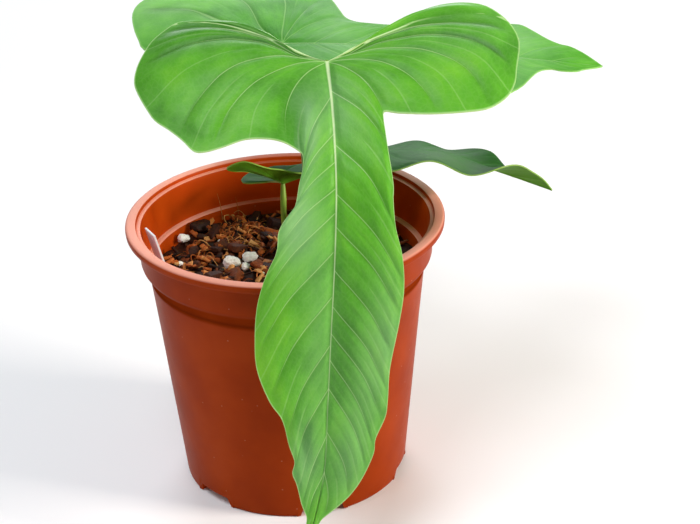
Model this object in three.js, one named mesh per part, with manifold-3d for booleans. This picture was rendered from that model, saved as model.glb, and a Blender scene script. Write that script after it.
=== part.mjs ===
// A young lobed anthurium in its nursery pot.
// Millimetres, +Z up. The pot's axis is Z and its foot stands on z = 0. -Y is the side with the hanging leaf.
import * as THREE from 'three';
import { mergeGeometries, mergeVertices } from 'three/addons/utils/BufferGeometryUtils.js';
import Module from 'manifold-3d';

const wasm = await Module();
wasm.setup();

// Air between pieces that touch
const GAP = 0.3;
const DEG = Math.PI / 180;

// Pot: a 12 cm thin-walled nursery pot with a collar, a lip and six notches round its foot
const POT_HEIGHT = 107;
const RIM_RADIUS = 60;
const FOOT_RADIUS = 43.8;
const NECK_RADIUS = 52.2;
const NECK_HEIGHT = 86.6;
const COLLAR_RADIUS = 55.2;
const WALL = 1.3;
const FLOOR = 2;
const LEDGE_HEIGHT = 90;
const LIP_DEPTH = 3.1;
const LIP_BAND = 4;
const POT_SIDES = 72;
const NOTCH = { count: 6, firstAngle: -138, halfWidth: 9, taper: 1.6, height: 4, inner: 34.6, roof: 1.4 };
const DRAIN = { width: 8, depth: 3.2, radius: 39 };

// Potting mix: bark and husk chips on a lumpy surface, filling the pot to just under the ledge
const MIX_HEIGHT = 85.2;
const MIX_EDGE_GAP = 0.45;
const MIX_SIDES = 40;
const CHIP_COUNT = 60;

// Where the leaf stalks and the short stem stand, and how deep they go
const STALK_FOOT = 66;
const STALK_FREE = 91;
const STEM = { x: 7.5, y: 0.5, radius: 4.5, foot: 60, top: 93 };

const LABEL = { nearTop: [-49.7, -7, 104.5], farTop: [-53.5, 0.7, 104.5], lean: 0.28, length: 38, thickness: 0.8 };

// Perlite grains lying in the surface: place, height and mean radius
const GRAINS = [
  { x: -40.5, y: 25, z: 87, radius: 2.2 },
  { x: -21.3, y: 1.5, z: 87.2, radius: 3.1 },
  { x: -14.2, y: 4.6, z: 87.2, radius: 2.7 },
  { x: -15.9, y: -2.6, z: 87, radius: 1.7 },
  { x: 31, y: -14, z: 87, radius: 2.6 },
  { x: 24, y: 22, z: 87, radius: 2.1 },
];

// Each leaf is drawn flat, in its own coordinates: v runs along the midrib from the stalk's joint (0) to the tip,
// u runs across. rail is the line that the midrib lies on, carried on behind the joint (point number joint) to
// steer the lobes. across is the way that u points. The settings on each side are [v, value] knots: fold is the
// angle in degrees at which a half leaves the midrib, curl is how much it turns with each millimetre.
// The outline of a half starts where the blade leaves the bare rib at the notch, and goes round the lobe, past
// the waist and down to the tip.
const FRONT_LEAF = {
  rail: [
    [14.5, 20, 190], [15.8, -4, 186], [16.8, -28, 176.4], [17.6, -42, 165.8], [17.7, -54, 154], [17.3, -63, 141],
    [15.8, -69, 119.5], [13.6, -72, 93], [11.7, -73.5, 68], [9.6, -75.5, 42], [5.6, -77.6, 24], [2, -79, 13.5],
  ],
  joint: 2,
  across: [1, 0, 0],
  roll: [[-30, 3], [60, 3], [172, 0]],
  left: {
    fold: [[-20, 8], [20, 10], [55, 12], [110, 7], [172, 10]],
    curl: [[-20, -0.3], [30, -0.36], [60, -0.45], [172, -0.3]],
    outline: [
      [19, -15.5], [24.5, -19.8], [32, -24.8], [41, -27.4], [50, -30], [55.5, -26.6], [60.3, -21.6], [63.2, -16],
      [65.8, -9.4], [67, -3], [66.4, 2], [63, 11.3], [60.4, 17], [55.5, 22.4], [51.4, 27.2], [47.7, 32], [44, 32.9],
      [37.7, 31.6], [30, 29.3], [22, 29.6], [15.5, 31.4], [11.6, 34.3], [10.8, 36.5], [11.3, 41], [12.5, 46], [14, 53.6],
      [17.3, 58], [19.3, 62.5], [19.7, 69], [23, 77.4], [25.5, 88], [26, 100], [25, 112], [20.5, 123.8], [15.8, 131],
      [13.2, 141], [11, 147.7], [11.3, 153], [9.3, 157.5], [6, 165.5], [3, 170.5], [2.1, 174.5], [0, 180.5],
    ],
  },
  right: {
    fold: [[-20, 8], [20, 9], [55, 10], [110, 7], [172, 10]],
    curl: [[-20, -0.26], [30, -0.3], [60, -0.45], [172, -0.3]],
    outline: [
      [17.6, -8.5], [28.2, -14.6], [37.7, -19.5], [47.4, -21.4], [56.5, -20], [62, -15], [65.5, -8.4], [66.8, -2],
      [66.2, 4], [64, 11.5], [62.6, 16], [59.3, 20.1], [52.8, 23.6], [44.4, 24.6], [33, 24.6], [22.6, 23.5],
      [17.6, 22.4], [17, 24.4], [17.3, 29], [18.1, 37.6], [19.2, 46.8], [19.1, 51], [20.1, 59.5], [22.7, 69], [23.8, 80.3],
      [22.9, 93],
      [20.8, 109.8], [20.7, 122], [20.2, 129], [17.2, 137.5], [16.8, 143], [14.1, 151], [10.9, 157.9], [7, 164],
      [2.8, 170], [1.6, 174.5], [0, 180.5],
    ],
  },
  waist: [[30, 1.15], [70, 1.35], [90, 1.6], [140, 2.1]],
  stalk: {
    points: [
      [12, -5.5, STALK_FOOT], [12, -5.5, 78], [12, -5.5, STALK_FREE], [12.6, -8, 112], [13.8, -13, 142],
      [15.6, -21, 166], [16.8, -26.7, 173.9],
    ],
    foot: 2.6,
    top: 1.75,
  },
  lobeRows: 18,
  bladeRows: 30,
  rib: 1.5,
  pleat: 0.7,
};

const BACK_LEAF = {
  rail: [[-62, 42, 152], [-32, 43, 157.5], [2, 43, 159.3], [40, 41.5, 157.3], [80, 43, 151.5], [128, 50, 142]],
  joint: 2,
  across: [0, 1, 0],
  roll: [[-60, 12], [130, 12]],
  left: {
    fold: [[-60, 4], [130, 4]],
    curl: [[-60, -0.3], [130, -0.35]],
    outline: [
      [5, -16], [7, -30], [10, -42], [16, -49], [26, -52], [38, -49], [47, -41], [53, -29], [54, -14], [49, 2], [41, 13],
      [31, 20], [22, 24], [16, 29], [14, 36], [14.5, 46], [17.5, 60], [22, 73], [26, 82.5], [24.2, 86], [20.1, 90.2],
      [14, 94.8], [8.9, 99.4], [6.6, 104.7], [7.1, 109.2], [6.3, 115.4], [4.1, 119.6], [1.4, 126], [0, 128.5],
    ],
  },
  right: {
    fold: [[-60, 4], [130, 4]],
    curl: [[-60, -0.25], [130, -0.35]],
    outline: [
      [4, -16], [6, -30], [7, -44], [9.5, -53.8], [15, -54.9], [28, -56.9], [42.5, -57.2], [53, -53.6], [61, -44],
      [65.5, -30], [65, -13], [58, 2], [47, 13], [35.2, 18.7], [24.3, 22.5], [19.5, 24.6], [16.8, 28.5], [16, 35],
      [15.8, 44], [17.5, 60], [21, 76], [24.5, 88], [26.3, 97], [26, 101.3], [22.3, 104.5], [16.6, 109], [13.2, 113.5],
      [12, 118], [8.2, 122.4], [3, 126.4], [0, 128.5],
    ],
  },
  waist: [[30, 1.2], [130, 1.6]],
  stalk: {
    points: [
      [7, 8.5, STALK_FOOT], [7, 8.5, 78], [7.4, 8.2, STALK_FREE], [8.4, 6.2, 106], [9, 5.4, 119], [8.6, 8.8, 128],
      [6.5, 19, 138.5], [3.8, 34, 150], [2.2, 42.4, 156.2],
    ],
    foot: 2.6,
    top: 1.75,
  },
  lobeRows: 18,
  bladeRows: 22,
  rib: 1.5,
  pleat: 0.7,
};

const LOW_LEAF = {
  rail: [
    [-26, 13, 108.3], [-0.6, 15, 113.9], [16, 18, 118], [31, 20.5, 120.6], [44, 22, 121.4], [62, 22.5, 119.4],
    [82, 21.5, 112], [104.5, 19, 103.3],
  ],
  joint: 1,
  across: [0, 1, 0],
  roll: [[-20, 0], [110, 0]],
  left: {
    fold: [[-17, 48], [-8, 50], [0, 47], [10, 24], [18, 5], [28, -4], [40, -4], [57, 10], [72, 0], [96, 46], [110, 54]],
    curl: [[-20, 0], [110, 0]],
    outline: [
      [8, -5], [12.5, -8.5], [17, -12], [20.5, -16], [23.8, -18], [25.8, -15.6], [25, -11.6], [22, -9], [17, -5.5],
      [12.5, -1], [9, 4], [7.5, 9], [7.6, 15], [10, 23], [14, 32], [16.5, 41], [17, 55], [16.5, 68], [15.3, 80],
      [13, 88], [9.8, 96], [5.5, 103.5], [0, 109.6],
    ],
  },
  right: {
    fold: [[-17, -5], [-6, -4], [5, 6], [20, -6], [42, -16], [56, -8], [67, -15], [84, 8], [94, -11], [110, -13]],
    curl: [[-20, 0], [110, 0]],
    outline: [
      [4, -5], [7, -10], [11, -14.5], [16, -15.5], [20.5, -13], [22, -8], [19, -3], [13.5, 1.5], [9.8, 6], [9, 13],
      [10.5, 24], [13.5, 36], [15.5, 50], [16, 64], [15, 76], [12.5, 87], [9, 96], [5, 103], [0, 109.6],
    ],
  },
  waist: [[10, 1.2], [100, 1.6]],
  stalk: {
    points: [[-0.5, 5.5, STALK_FOOT], [-0.5, 5.5, 76], [-0.5, 5.5, 86], [-0.6, 10.4, 101], [-0.3, 14.6, 112.3]],
    foot: 1.4,
    top: 1.2,
  },
  lobeRows: 12,
  bladeRows: 20,
  rib: 1,
  pleat: 0.4,
};

// How far along a vein the grid's points stand, from the midrib (0) to the margin (1)
const STEPS = [0, 0.07, 0.3, 0.55, 0.79, 1];
const BLADE_THICKNESS = 0.7;
const STALK_SIDES = 8;
const KNEE = { swell: 1.15, length: 5 };

const material = (color, roughness) => new THREE.MeshStandardMaterial({ color, roughness, metalness: 0 });
const looks = {
  pot: material(0xa8431f, 0.42),
  mix: material(0x4a2c1b, 0.95),
  perlite: material(0xeceae2, 0.9),
  label: material(0xe6e8ee, 0.45),
  stem: material(0x6f7d3e, 0.7),
  front: material(0x62a83c, 0.5),
  back: material(0x5a9f3a, 0.55),
  low: material(0x4f8a45, 0.55),
};

// One generator with a fixed seed gives every random draw
let seed = 4158;
function random(low = 0, high = 1) {
  seed = (seed * 16807) % 2147483647;
  return low + (high - low) * (seed / 2147483647);
}

// Value at v of a line through [v, value] knots, eased between them
function ramp(knots, v) {
  if (v <= knots[0][0]) return knots[0][1];
  for (let i = 1; i < knots.length; i++) {
    const [start, from] = knots[i - 1];
    const [end, to] = knots[i];
    if (v < end) return from + (to - from) * THREE.MathUtils.smoothstep(v, start, end);
  }
  return knots[knots.length - 1][1];
}

// Between a three.js geometry and a manifold solid
function toSolid(geometry) {
  const bare = geometry.clone();
  bare.deleteAttribute('normal');
  bare.deleteAttribute('uv');
  const merged = mergeVertices(bare, 1e-4);
  const corners = merged.index.array;
  const kept = [];
  for (let i = 0; i < corners.length; i += 3) {
    const [a, b, c] = corners.slice(i, i + 3);
    if (a !== b && b !== c && c !== a) kept.push(a, b, c);
  }
  const mesh = new wasm.Mesh({
    numProp: 3,
    vertProperties: new Float32Array(merged.attributes.position.array),
    triVerts: new Uint32Array(kept),
  });
  return new wasm.Manifold(mesh);
}

function toGeometry(solid) {
  const mesh = solid.getMesh();
  const geometry = new THREE.BufferGeometry();
  geometry.setAttribute('position', new THREE.BufferAttribute(new Float32Array(mesh.vertProperties), 3));
  geometry.setIndex(new THREE.BufferAttribute(new Uint32Array(mesh.triVerts), 1));
  return geometry;
}

function largestBody(solid) {
  return solid.decompose().sort((a, b) => b.volume() - a.volume())[0];
}

function lathe(points, sides) {
  return new THREE.LatheGeometry(points.map(([r, z]) => new THREE.Vector2(r, z)), sides).rotateX(Math.PI / 2);
}

function cylinder(x, y, radius, foot, top, sides) {
  const geometry = new THREE.CylinderGeometry(radius, radius, top - foot, sides).rotateX(Math.PI / 2);
  return geometry.translate(x, y, (foot + top) / 2);
}

// A tapering cylinder bent along a path
function stalkGeometry({ points, foot, top }) {
  const path = new THREE.CatmullRomCurve3(points.map((p) => new THREE.Vector3(...p)), false, 'catmullrom', 0.5);
  const steps = 3 * (points.length - 1);
  const frames = path.computeFrenetFrames(steps, false);
  const geometry = new THREE.CylinderGeometry(top, foot, 1, STALK_SIDES, steps);
  const place = geometry.attributes.position;
  for (let i = 0; i < place.count; i++) {
    const row = Math.round((place.getY(i) + 0.5) * steps);
    const point = path.getPointAt(row / steps);
    point.addScaledVector(frames.normals[row], place.getX(i));
    point.addScaledVector(frames.binormals[row], -place.getZ(i));
    place.setXYZ(i, point.x, point.y, point.z);
  }
  return geometry;
}

// Pot
function notchBlock(grow, height, inner, outer, angle) {
  const low = NOTCH.halfWidth + grow;
  const high = low - NOTCH.taper;
  const shape = new THREE.Shape([
    new THREE.Vector2(-low, -1),
    new THREE.Vector2(low, -1),
    new THREE.Vector2(high, height),
    new THREE.Vector2(-high, height),
  ]);
  const block = new THREE.ExtrudeGeometry(shape, { depth: outer - inner, bevelEnabled: false });
  return block.rotateX(Math.PI / 2).translate(0, -inner, 0).rotateZ((angle + 90) * DEG);
}

function notchAngles() {
  return Array.from({ length: NOTCH.count }, (_, k) => NOTCH.firstAngle + (k * 360) / NOTCH.count);
}

function innerWall(z) {
  const slope = (NECK_RADIUS - FOOT_RADIUS) / NECK_HEIGHT;
  return FOOT_RADIUS - WALL + slope * z;
}

function potGeometry() {
  const lipUnder = POT_HEIGHT - LIP_DEPTH;
  const bandInner = RIM_RADIUS - LIP_BAND;
  const profile = [
    [0, 0], [FOOT_RADIUS - 0.8, 0], [FOOT_RADIUS, 0.8], [NECK_RADIUS, NECK_HEIGHT], [NECK_RADIUS + 0.8, 88.2],
    [COLLAR_RADIUS - 0.9, 91.5], [COLLAR_RADIUS, lipUnder - 0.6], [RIM_RADIUS - 0.9, lipUnder],
    [RIM_RADIUS - 0.2, lipUnder + 0.5], [RIM_RADIUS, POT_HEIGHT - 0.7], [RIM_RADIUS - 0.7, POT_HEIGHT],
    [bandInner + 0.5, POT_HEIGHT], [bandInner, POT_HEIGHT - 0.4], [bandInner - 0.3, POT_HEIGHT - 1.6],
    [bandInner - 1.2, POT_HEIGHT - 1.7], [bandInner - 1.8, POT_HEIGHT - 2.4], [COLLAR_RADIUS - WALL - 0.9, 91.5],
    [COLLAR_RADIUS - WALL - 1.1, LEDGE_HEIGHT + 0.4], [COLLAR_RADIUS - WALL - 1.6, LEDGE_HEIGHT],
    [NECK_RADIUS - WALL + 0.2, LEDGE_HEIGHT], [NECK_RADIUS - WALL, LEDGE_HEIGHT - 0.7], [innerWall(FLOOR), FLOOR],
    [0, FLOOR],
  ];
  let pot = toSolid(lathe(profile, POT_SIDES));
  const envelope = toSolid(lathe([[0, 0.4], [FOOT_RADIUS - 0.4, 0.4], [innerWall(12) + 0.6, 12], [0, 12]], POT_SIDES));
  for (const angle of notchAngles()) {
    const roof = NOTCH.height + NOTCH.roof;
    const pocket = toSolid(notchBlock(NOTCH.roof, roof, NOTCH.inner - NOTCH.roof, FOOT_RADIUS + 2, angle));
    pot = pot.add(pocket.intersect(envelope));
  }
  for (const angle of notchAngles()) {
    pot = pot.subtract(toSolid(notchBlock(0, NOTCH.height, NOTCH.inner, FOOT_RADIUS + 4, angle)));
    const drain = new THREE.BoxGeometry(DRAIN.depth, DRAIN.width, 4).translate(DRAIN.radius, 0, NOTCH.height + 1);
    pot = pot.subtract(toSolid(drain.rotateZ(angle * DEG)));
  }
  return toGeometry(pot);
}

// Potting mix
function mixHeight(x, y) {
  const broad = 0.7 * Math.sin(x / 11 + 1.3) * Math.cos(y / 13 - 0.6);
  const lumps = 0.55 * Math.sin(x / 3.7 + y / 6.1) + 0.45 * Math.cos(y / 3.1 - x / 5.3);
  return MIX_HEIGHT + broad + lumps;
}

function mixBed() {
  const edge = innerWall(MIX_HEIGHT) - MIX_EDGE_GAP;
  const rings = [1, 0.93, 0.85, 0.76, 0.66, 0.55, 0.43, 0.3, 0.15, 0];
  const profile = [[0, FLOOR + GAP], [innerWall(FLOOR) - MIX_EDGE_GAP, FLOOR + GAP]];
  for (const ring of rings) profile.push([edge * ring, MIX_HEIGHT]);
  const geometry = lathe(profile, MIX_SIDES);
  const place = geometry.attributes.position;
  for (let i = 0; i < place.count; i++) {
    if (place.getZ(i) > MIX_HEIGHT - 1) {
      const rise = mixHeight(place.getX(i), place.getY(i)) - MIX_HEIGHT;
      const nearWall = Math.hypot(place.getX(i), place.getY(i)) > 0.97 * edge;
      place.setZ(i, MIX_HEIGHT + (nearWall ? Math.min(rise, 0) : rise));
    }
  }
  return toSolid(geometry);
}

// Places in the mix that chips keep clear of, as [x, y, radius]
function keptClear() {
  const feet = [FRONT_LEAF, BACK_LEAF, LOW_LEAF].map(({ stalk }) => [...stalk.points[0].slice(0, 2), stalk.foot + 1]);
  const grains = GRAINS.map((grain) => [grain.x, grain.y, grain.radius - 0.6]);
  const label = [[-42, -7, 2.5], [-46, 0, 2.5]];
  return [...feet, ...grains, ...label, [STEM.x, STEM.y, STEM.radius + 1]];
}

function addChips(bed) {
  const clear = keptClear();
  let mix = bed;
  let placed = 0;
  while (placed < CHIP_COUNT) {
    const length = random(6, 12);
    const reach = length / 2;
    const radius = (innerWall(MIX_HEIGHT) - 2 - reach) * Math.sqrt(random());
    const angle = random(0, 2 * Math.PI);
    const x = radius * Math.cos(angle);
    const y = radius * Math.sin(angle);
    const tilt = [random(-32, 32) * DEG, random(-26, 26) * DEG, random(0, 180) * DEG];
    const size = [length, random(3, 6), random(1.6, 3)];
    if (clear.some(([cx, cy, r]) => Math.hypot(x - cx, y - cy) < r + reach)) continue;
    const chip = new THREE.BoxGeometry(...size).rotateX(tilt[1]).rotateY(tilt[0]).rotateZ(tilt[2]);
    mix = mix.add(toSolid(chip.translate(x, y, mixHeight(x, y) + 0.5)));
    placed++;
  }
  return mix;
}

function grainGeometry(grain, grow) {
  const geometry = new THREE.IcosahedronGeometry(1, 1);
  const place = geometry.attributes.position;
  const point = new THREE.Vector3();
  for (let i = 0; i < place.count; i++) {
    point.fromBufferAttribute(place, i);
    const lump = 0.1 * Math.sin(4 * point.x + grain.x) + 0.1 * Math.cos(5 * point.y + grain.y);
    point.multiplyScalar(grain.radius * (1 + lump) + grow);
    place.setXYZ(i, point.x, point.y, 0.8 * point.z);
  }
  return geometry.translate(grain.x, grain.y, grain.z);
}

function labelGeometry(grow) {
  const near = new THREE.Vector3(...LABEL.nearTop);
  const far = new THREE.Vector3(...LABEL.farTop);
  const across = far.clone().sub(near);
  const down = new THREE.Vector3(LABEL.lean, 0, -1).normalize();
  const width = across.length() + 2 * grow;
  const box = new THREE.BoxGeometry(width, LABEL.thickness + 2 * grow, LABEL.length + 2 * grow);
  const sideways = across.normalize();
  const facing = new THREE.Vector3().crossVectors(down, sideways).normalize();
  const along = new THREE.Vector3().crossVectors(sideways, facing);
  const middle = near.add(far).multiplyScalar(0.5).addScaledVector(down, LABEL.length / 2);
  const turn = new THREE.Matrix4().makeBasis(sideways, facing, along).setPosition(middle);
  return box.applyMatrix4(turn);
}

function mixGeometry() {
  let mix = addChips(mixBed());
  for (const leaf of [FRONT_LEAF, BACK_LEAF, LOW_LEAF]) {
    const [x, y] = leaf.stalk.points[0];
    mix = mix.subtract(toSolid(cylinder(x, y, leaf.stalk.foot + GAP, STALK_FOOT - GAP, 100, 10)));
  }
  mix = mix.subtract(toSolid(cylinder(STEM.x, STEM.y, STEM.radius + GAP, STEM.foot - GAP, 100, 14)));
  mix = mix.subtract(toSolid(labelGeometry(GAP)));
  for (const grain of GRAINS) mix = mix.subtract(toSolid(grainGeometry(grain, GAP)));
  for (const angle of notchAngles()) {
    const grow = NOTCH.roof + GAP;
    const roof = NOTCH.height + NOTCH.roof + GAP;
    mix = mix.subtract(toSolid(notchBlock(grow, roof, NOTCH.inner - grow, FOOT_RADIUS + 4, angle)));
  }
  return toGeometry(largestBody(mix));
}

// Short stem, ringed where old leaves stood
function stemGeometry() {
  const profile = [[0, STEM.foot], [STEM.radius - 0.8, STEM.foot], [STEM.radius, STEM.foot + 2]];
  for (let z = 80; z < STEM.top - 3; z += 3) {
    profile.push([STEM.radius, z], [STEM.radius - 0.35, z + 0.8]);
  }
  profile.push([STEM.radius - 0.9, STEM.top - 1.6], [STEM.radius - 2.6, STEM.top - 0.3], [0, STEM.top]);
  return lathe(profile, 14).translate(STEM.x, STEM.y, 0);
}

// Leaves
const RAIL_STEPS = 24;

// The rail as points with their distance from the joint
function measureRail(leaf) {
  const curve = new THREE.CatmullRomCurve3(leaf.rail.map((p) => new THREE.Vector3(...p)), false, 'catmullrom', 0.5);
  const points = curve.getPoints(RAIL_STEPS * (leaf.rail.length - 1));
  const lengths = [0];
  for (let i = 1; i < points.length; i++) lengths.push(lengths[i - 1] + points[i].distanceTo(points[i - 1]));
  const start = lengths[RAIL_STEPS * leaf.joint];
  return { points, lengths: lengths.map((length) => length - start) };
}

function railPoint({ points, lengths }, v) {
  let i = 1;
  while (i < points.length - 1 && lengths[i] < v) i++;
  const share = (v - lengths[i - 1]) / (lengths[i] - lengths[i - 1]);
  return points[i - 1].clone().lerp(points[i], THREE.MathUtils.clamp(share, 0, 1));
}

// A point of the blade's upper face from its place (u, v) in the flat outline
function bladePoint(leaf, u, v) {
  const { lengths } = leaf.measured;
  const held = THREE.MathUtils.clamp(v, lengths[0], lengths[lengths.length - 1]);
  const along = railPoint(leaf.measured, held + 1).sub(railPoint(leaf.measured, held - 1)).normalize();
  const across = new THREE.Vector3(...leaf.across);
  across.addScaledVector(along, -across.dot(along)).normalize();
  const roll = ramp(leaf.roll, v) * DEG;
  across.applyAxisAngle(along, roll);
  const facing = new THREE.Vector3().crossVectors(along, across);
  const half = u < 0 ? leaf.left : leaf.right;
  const width = Math.abs(u);
  const fold = ramp(half.fold, v) * DEG;
  const curl = ramp(half.curl, v) * DEG || 1e-6;
  const out = (Math.sin(fold + curl * width) - Math.sin(fold)) / curl;
  const rise = (Math.cos(fold) - Math.cos(fold + curl * width)) / curl;
  const point = railPoint(leaf.measured, held).addScaledVector(along, v - held);
  return point.addScaledVector(across, Math.sign(u) * out).addScaledVector(facing, rise);
}

function bladeNormal(leaf, u, v) {
  const step = 0.5;
  const sideways = bladePoint(leaf, u + step, v).sub(bladePoint(leaf, u - step, v));
  const along = bladePoint(leaf, u, v + step).sub(bladePoint(leaf, u, v - step));
  return along.cross(sideways).normalize();
}

// Where the vein that ends at a margin point leaves the midrib: 0 is the joint, which all veins of the lobes share
function veinFoot(leaf, [u, v]) {
  return Math.max(0, v - ramp(leaf.waist, v) * u);
}

// Rows stand closer near the waist, where the margin turns
const ROW_SPREAD = 1.25;

// Rows of veins for one half, each as [foot on the midrib, end on the margin]
function veinRows(leaf, half) {
  const curve = new THREE.SplineCurve(half.outline.map((p) => new THREE.Vector2(...p)));
  const count = 12 * half.outline.length;
  const margin = curve.getSpacedPoints(count).map((p) => [Math.max(0, p.x), p.y]);
  const feet = margin.map((p) => veinFoot(leaf, p));
  for (let i = 1; i < feet.length; i++) feet[i] = Math.max(feet[i], feet[i - 1]);
  const tip = feet[feet.length - 1];
  const last = feet.findIndex((foot) => foot > 0) - 1;
  const rows = [];
  for (let k = 0; k <= leaf.lobeRows; k++) rows.push({ foot: 0, end: margin[Math.round((last * k) / leaf.lobeRows)] });
  for (let k = 1; k <= leaf.bladeRows; k++) {
    const foot = tip * (k / leaf.bladeRows) ** ROW_SPREAD;
    const i = Math.max(1, feet.findIndex((value) => value >= foot - 1e-6));
    const share = (foot - feet[i - 1]) / Math.max(1e-9, feet[i] - feet[i - 1]);
    const end = margin[i - 1].map((value, axis) => value + (margin[i][axis] - value) * Math.min(1, share));
    rows.push({ foot, end });
  }
  return rows;
}

// A vein bows towards the back of the leaf: strongly in the lobes, slightly along the midrib
const BOW = [[-38, 0], [0, 0.34], [25, 0.42], [55, 0.2]];
const SIDE_BOW = 0.12;
const BOW_FADE = 20;

function veinPoint({ foot, end }, share) {
  const [u, v] = end;
  const lobe = ramp(BOW, Math.atan2(v, u) / DEG);
  const bow = lobe + (SIDE_BOW - lobe) * THREE.MathUtils.smoothstep(foot, 0, BOW_FADE);
  const rise = v - foot;
  const curve = new THREE.QuadraticBezierCurve(
    new THREE.Vector2(0, foot),
    new THREE.Vector2(u / 2 + bow * rise, foot + rise / 2 - bow * u),
    new THREE.Vector2(u, v),
  );
  return curve.getPoint(share);
}

// The blade is one grid, from the left margin over the midrib to the right margin, bent to shape. Every other
// row follows a sunken vein and the rows between rise, which pleats the blade. A copy of the grid, pushed down
// by the thickness, is its underside, and strips close the edges.
function bladeGeometry(leaf) {
  const left = veinRows(leaf, leaf.left);
  const right = veinRows(leaf, leaf.right);
  const rows = left.length;
  const reach = STEPS.length - 1;
  const columns = 2 * reach + 1;
  const length = left[rows - 1].end[1];
  const upper = [];
  const lower = [];
  for (let row = 0; row < rows; row++) {
    for (let column = 0; column < columns; column++) {
      const step = Math.abs(column - reach);
      const side = column < reach ? -1 : 1;
      const flat = veinPoint(side < 0 ? left[row] : right[row], STEPS[step]);
      const facing = bladeNormal(leaf, side * flat.x, flat.y);
      const fade = Math.max(0.15, 1 - flat.length() / length);
      const onRib = step === 0 || row === 0;
      const rise = row % 2 ? leaf.pleat * fade * Math.sin(Math.PI * STEPS[step]) : 0;
      const depth = BLADE_THICKNESS + (onRib ? leaf.rib * fade : 0);
      const point = bladePoint(leaf, side * flat.x, flat.y).addScaledVector(facing, rise + BLADE_THICKNESS / 4);
      upper.push(point);
      lower.push(point.clone().addScaledVector(facing, -depth));
    }
  }
  const sheet = (points, flip) => {
    const plane = new THREE.PlaneGeometry(1, 1, columns - 1, rows - 1);
    plane.attributes.position.copyArray(points.flatMap((p) => p.toArray()));
    if (flip) plane.index.array.reverse();
    return plane;
  };
  const edge = (places) => {
    const strip = new THREE.PlaneGeometry(1, 1, places.length - 1, 1);
    const points = [...places.map((i) => upper[i]), ...places.map((i) => lower[i])];
    strip.attributes.position.copyArray(points.flatMap((p) => p.toArray()));
    strip.index.array.reverse();
    return strip;
  };
  const topRow = Array.from({ length: columns }, (_, column) => column);
  const leftSide = Array.from({ length: rows }, (_, row) => row * columns);
  const rightSide = leftSide.map((place) => place + columns - 1);
  return mergeGeometries([
    sheet(upper, false),
    sheet(lower, true),
    edge(topRow),
    edge(leftSide.reverse()),
    edge(rightSide),
  ]);
}

function leafGeometry(leaf) {
  leaf.measured = measureRail(leaf);
  const blade = toSolid(bladeGeometry(leaf));
  const stalk = toSolid(stalkGeometry(leaf.stalk));
  const [under, top] = leaf.stalk.points.slice(-2).map((p) => new THREE.Vector3(...p));
  const upwards = top.clone().sub(under).normalize();
  const knee = new THREE.CapsuleGeometry(leaf.stalk.top * KNEE.swell, KNEE.length, 2, STALK_SIDES);
  knee.applyQuaternion(new THREE.Quaternion().setFromUnitVectors(new THREE.Vector3(0, 1, 0), upwards));
  knee.translate(...top.addScaledVector(upwards, -KNEE.length / 2));
  return toGeometry(blade.add(stalk).add(toSolid(knee)));
}

const plant = new THREE.Group();
function put(name, geometry, look) {
  const mesh = new THREE.Mesh(geometry, look);
  mesh.name = name;
  plant.add(mesh);
}

put('pot', potGeometry(), looks.pot);
put('potting_mix', mixGeometry(), looks.mix);
GRAINS.forEach((grain, i) => put(`perlite_grain_${i + 1}`, toGeometry(toSolid(grainGeometry(grain, 0))), looks.perlite));
put('plant_label', labelGeometry(0), looks.label);
put('stem', stemGeometry(), looks.stem);
put('leaf_front', leafGeometry(FRONT_LEAF), looks.front);
put('leaf_back', leafGeometry(BACK_LEAF), looks.back);
put('leaf_low', leafGeometry(LOW_LEAF), looks.low);

export default plant;
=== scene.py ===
from math import cos, pi, radians, sin

import bmesh
import bpy
import numpy as np
from mathutils import Matrix, Vector, noise


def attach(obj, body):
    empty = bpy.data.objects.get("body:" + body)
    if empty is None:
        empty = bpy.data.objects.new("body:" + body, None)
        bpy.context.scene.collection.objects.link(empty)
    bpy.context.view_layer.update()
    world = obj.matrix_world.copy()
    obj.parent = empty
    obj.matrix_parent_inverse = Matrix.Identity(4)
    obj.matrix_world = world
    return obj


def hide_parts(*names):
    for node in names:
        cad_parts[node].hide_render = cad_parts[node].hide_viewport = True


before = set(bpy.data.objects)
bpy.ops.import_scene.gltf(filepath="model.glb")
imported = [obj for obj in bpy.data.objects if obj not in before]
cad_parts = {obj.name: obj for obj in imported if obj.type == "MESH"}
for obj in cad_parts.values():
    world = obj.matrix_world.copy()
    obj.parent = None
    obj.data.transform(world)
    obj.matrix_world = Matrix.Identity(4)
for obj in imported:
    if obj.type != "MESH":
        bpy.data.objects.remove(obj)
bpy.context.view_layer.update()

mm = 0.001
seed = 4158
rng = np.random.default_rng(seed)
noise.seed_set(seed)  # or else the noise that moves points would follow the clock
lineSteps = 24  # points of a smooth line from one of its knots to the next
weld = 0.002  # points closer together than this, in millimetres, become one


# Nodes and colours
def linear(code, alpha=1.0):
    parts = [int(code[i : i + 2], 16) / 255 for i in (1, 3, 5)]
    return [p / 12.92 if p <= 0.04045 else ((p + 0.055) / 1.055) ** 2.4 for p in parts] + [alpha]


def addNode(tree, kind, settings):
    # a value that is a socket gets linked, and a node stands for its first output
    node = tree.nodes.new("ShaderNode" + kind)
    for key, value in settings.items():
        if isinstance(value, bpy.types.Node):
            value = value.outputs[0]
        if isinstance(value, bpy.types.NodeSocket):
            tree.links.new(value, node.inputs[key])
        elif key == "stops":  # colour stops as (place, colour)
            while len(node.color_ramp.elements) < len(value):
                node.color_ramp.elements.new(0.5)
            for element, (place, code) in zip(node.color_ramp.elements, value):
                element.position = place
                element.color = linear(code)
        elif isinstance(key, str) and hasattr(node, key):
            setattr(node, key, value)
        else:
            node.inputs[key].default_value = linear(value) if isinstance(value, str) else value
    return node


def newMaterial(name):
    material = bpy.data.materials.new(name)
    material.use_nodes = True
    material.node_tree.nodes.clear()
    return material, material.node_tree


# Smooth lines, and values between knots
def smooth(x):
    x = np.clip(x, 0, 1)
    return x * x * (3 - 2 * x)


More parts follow.
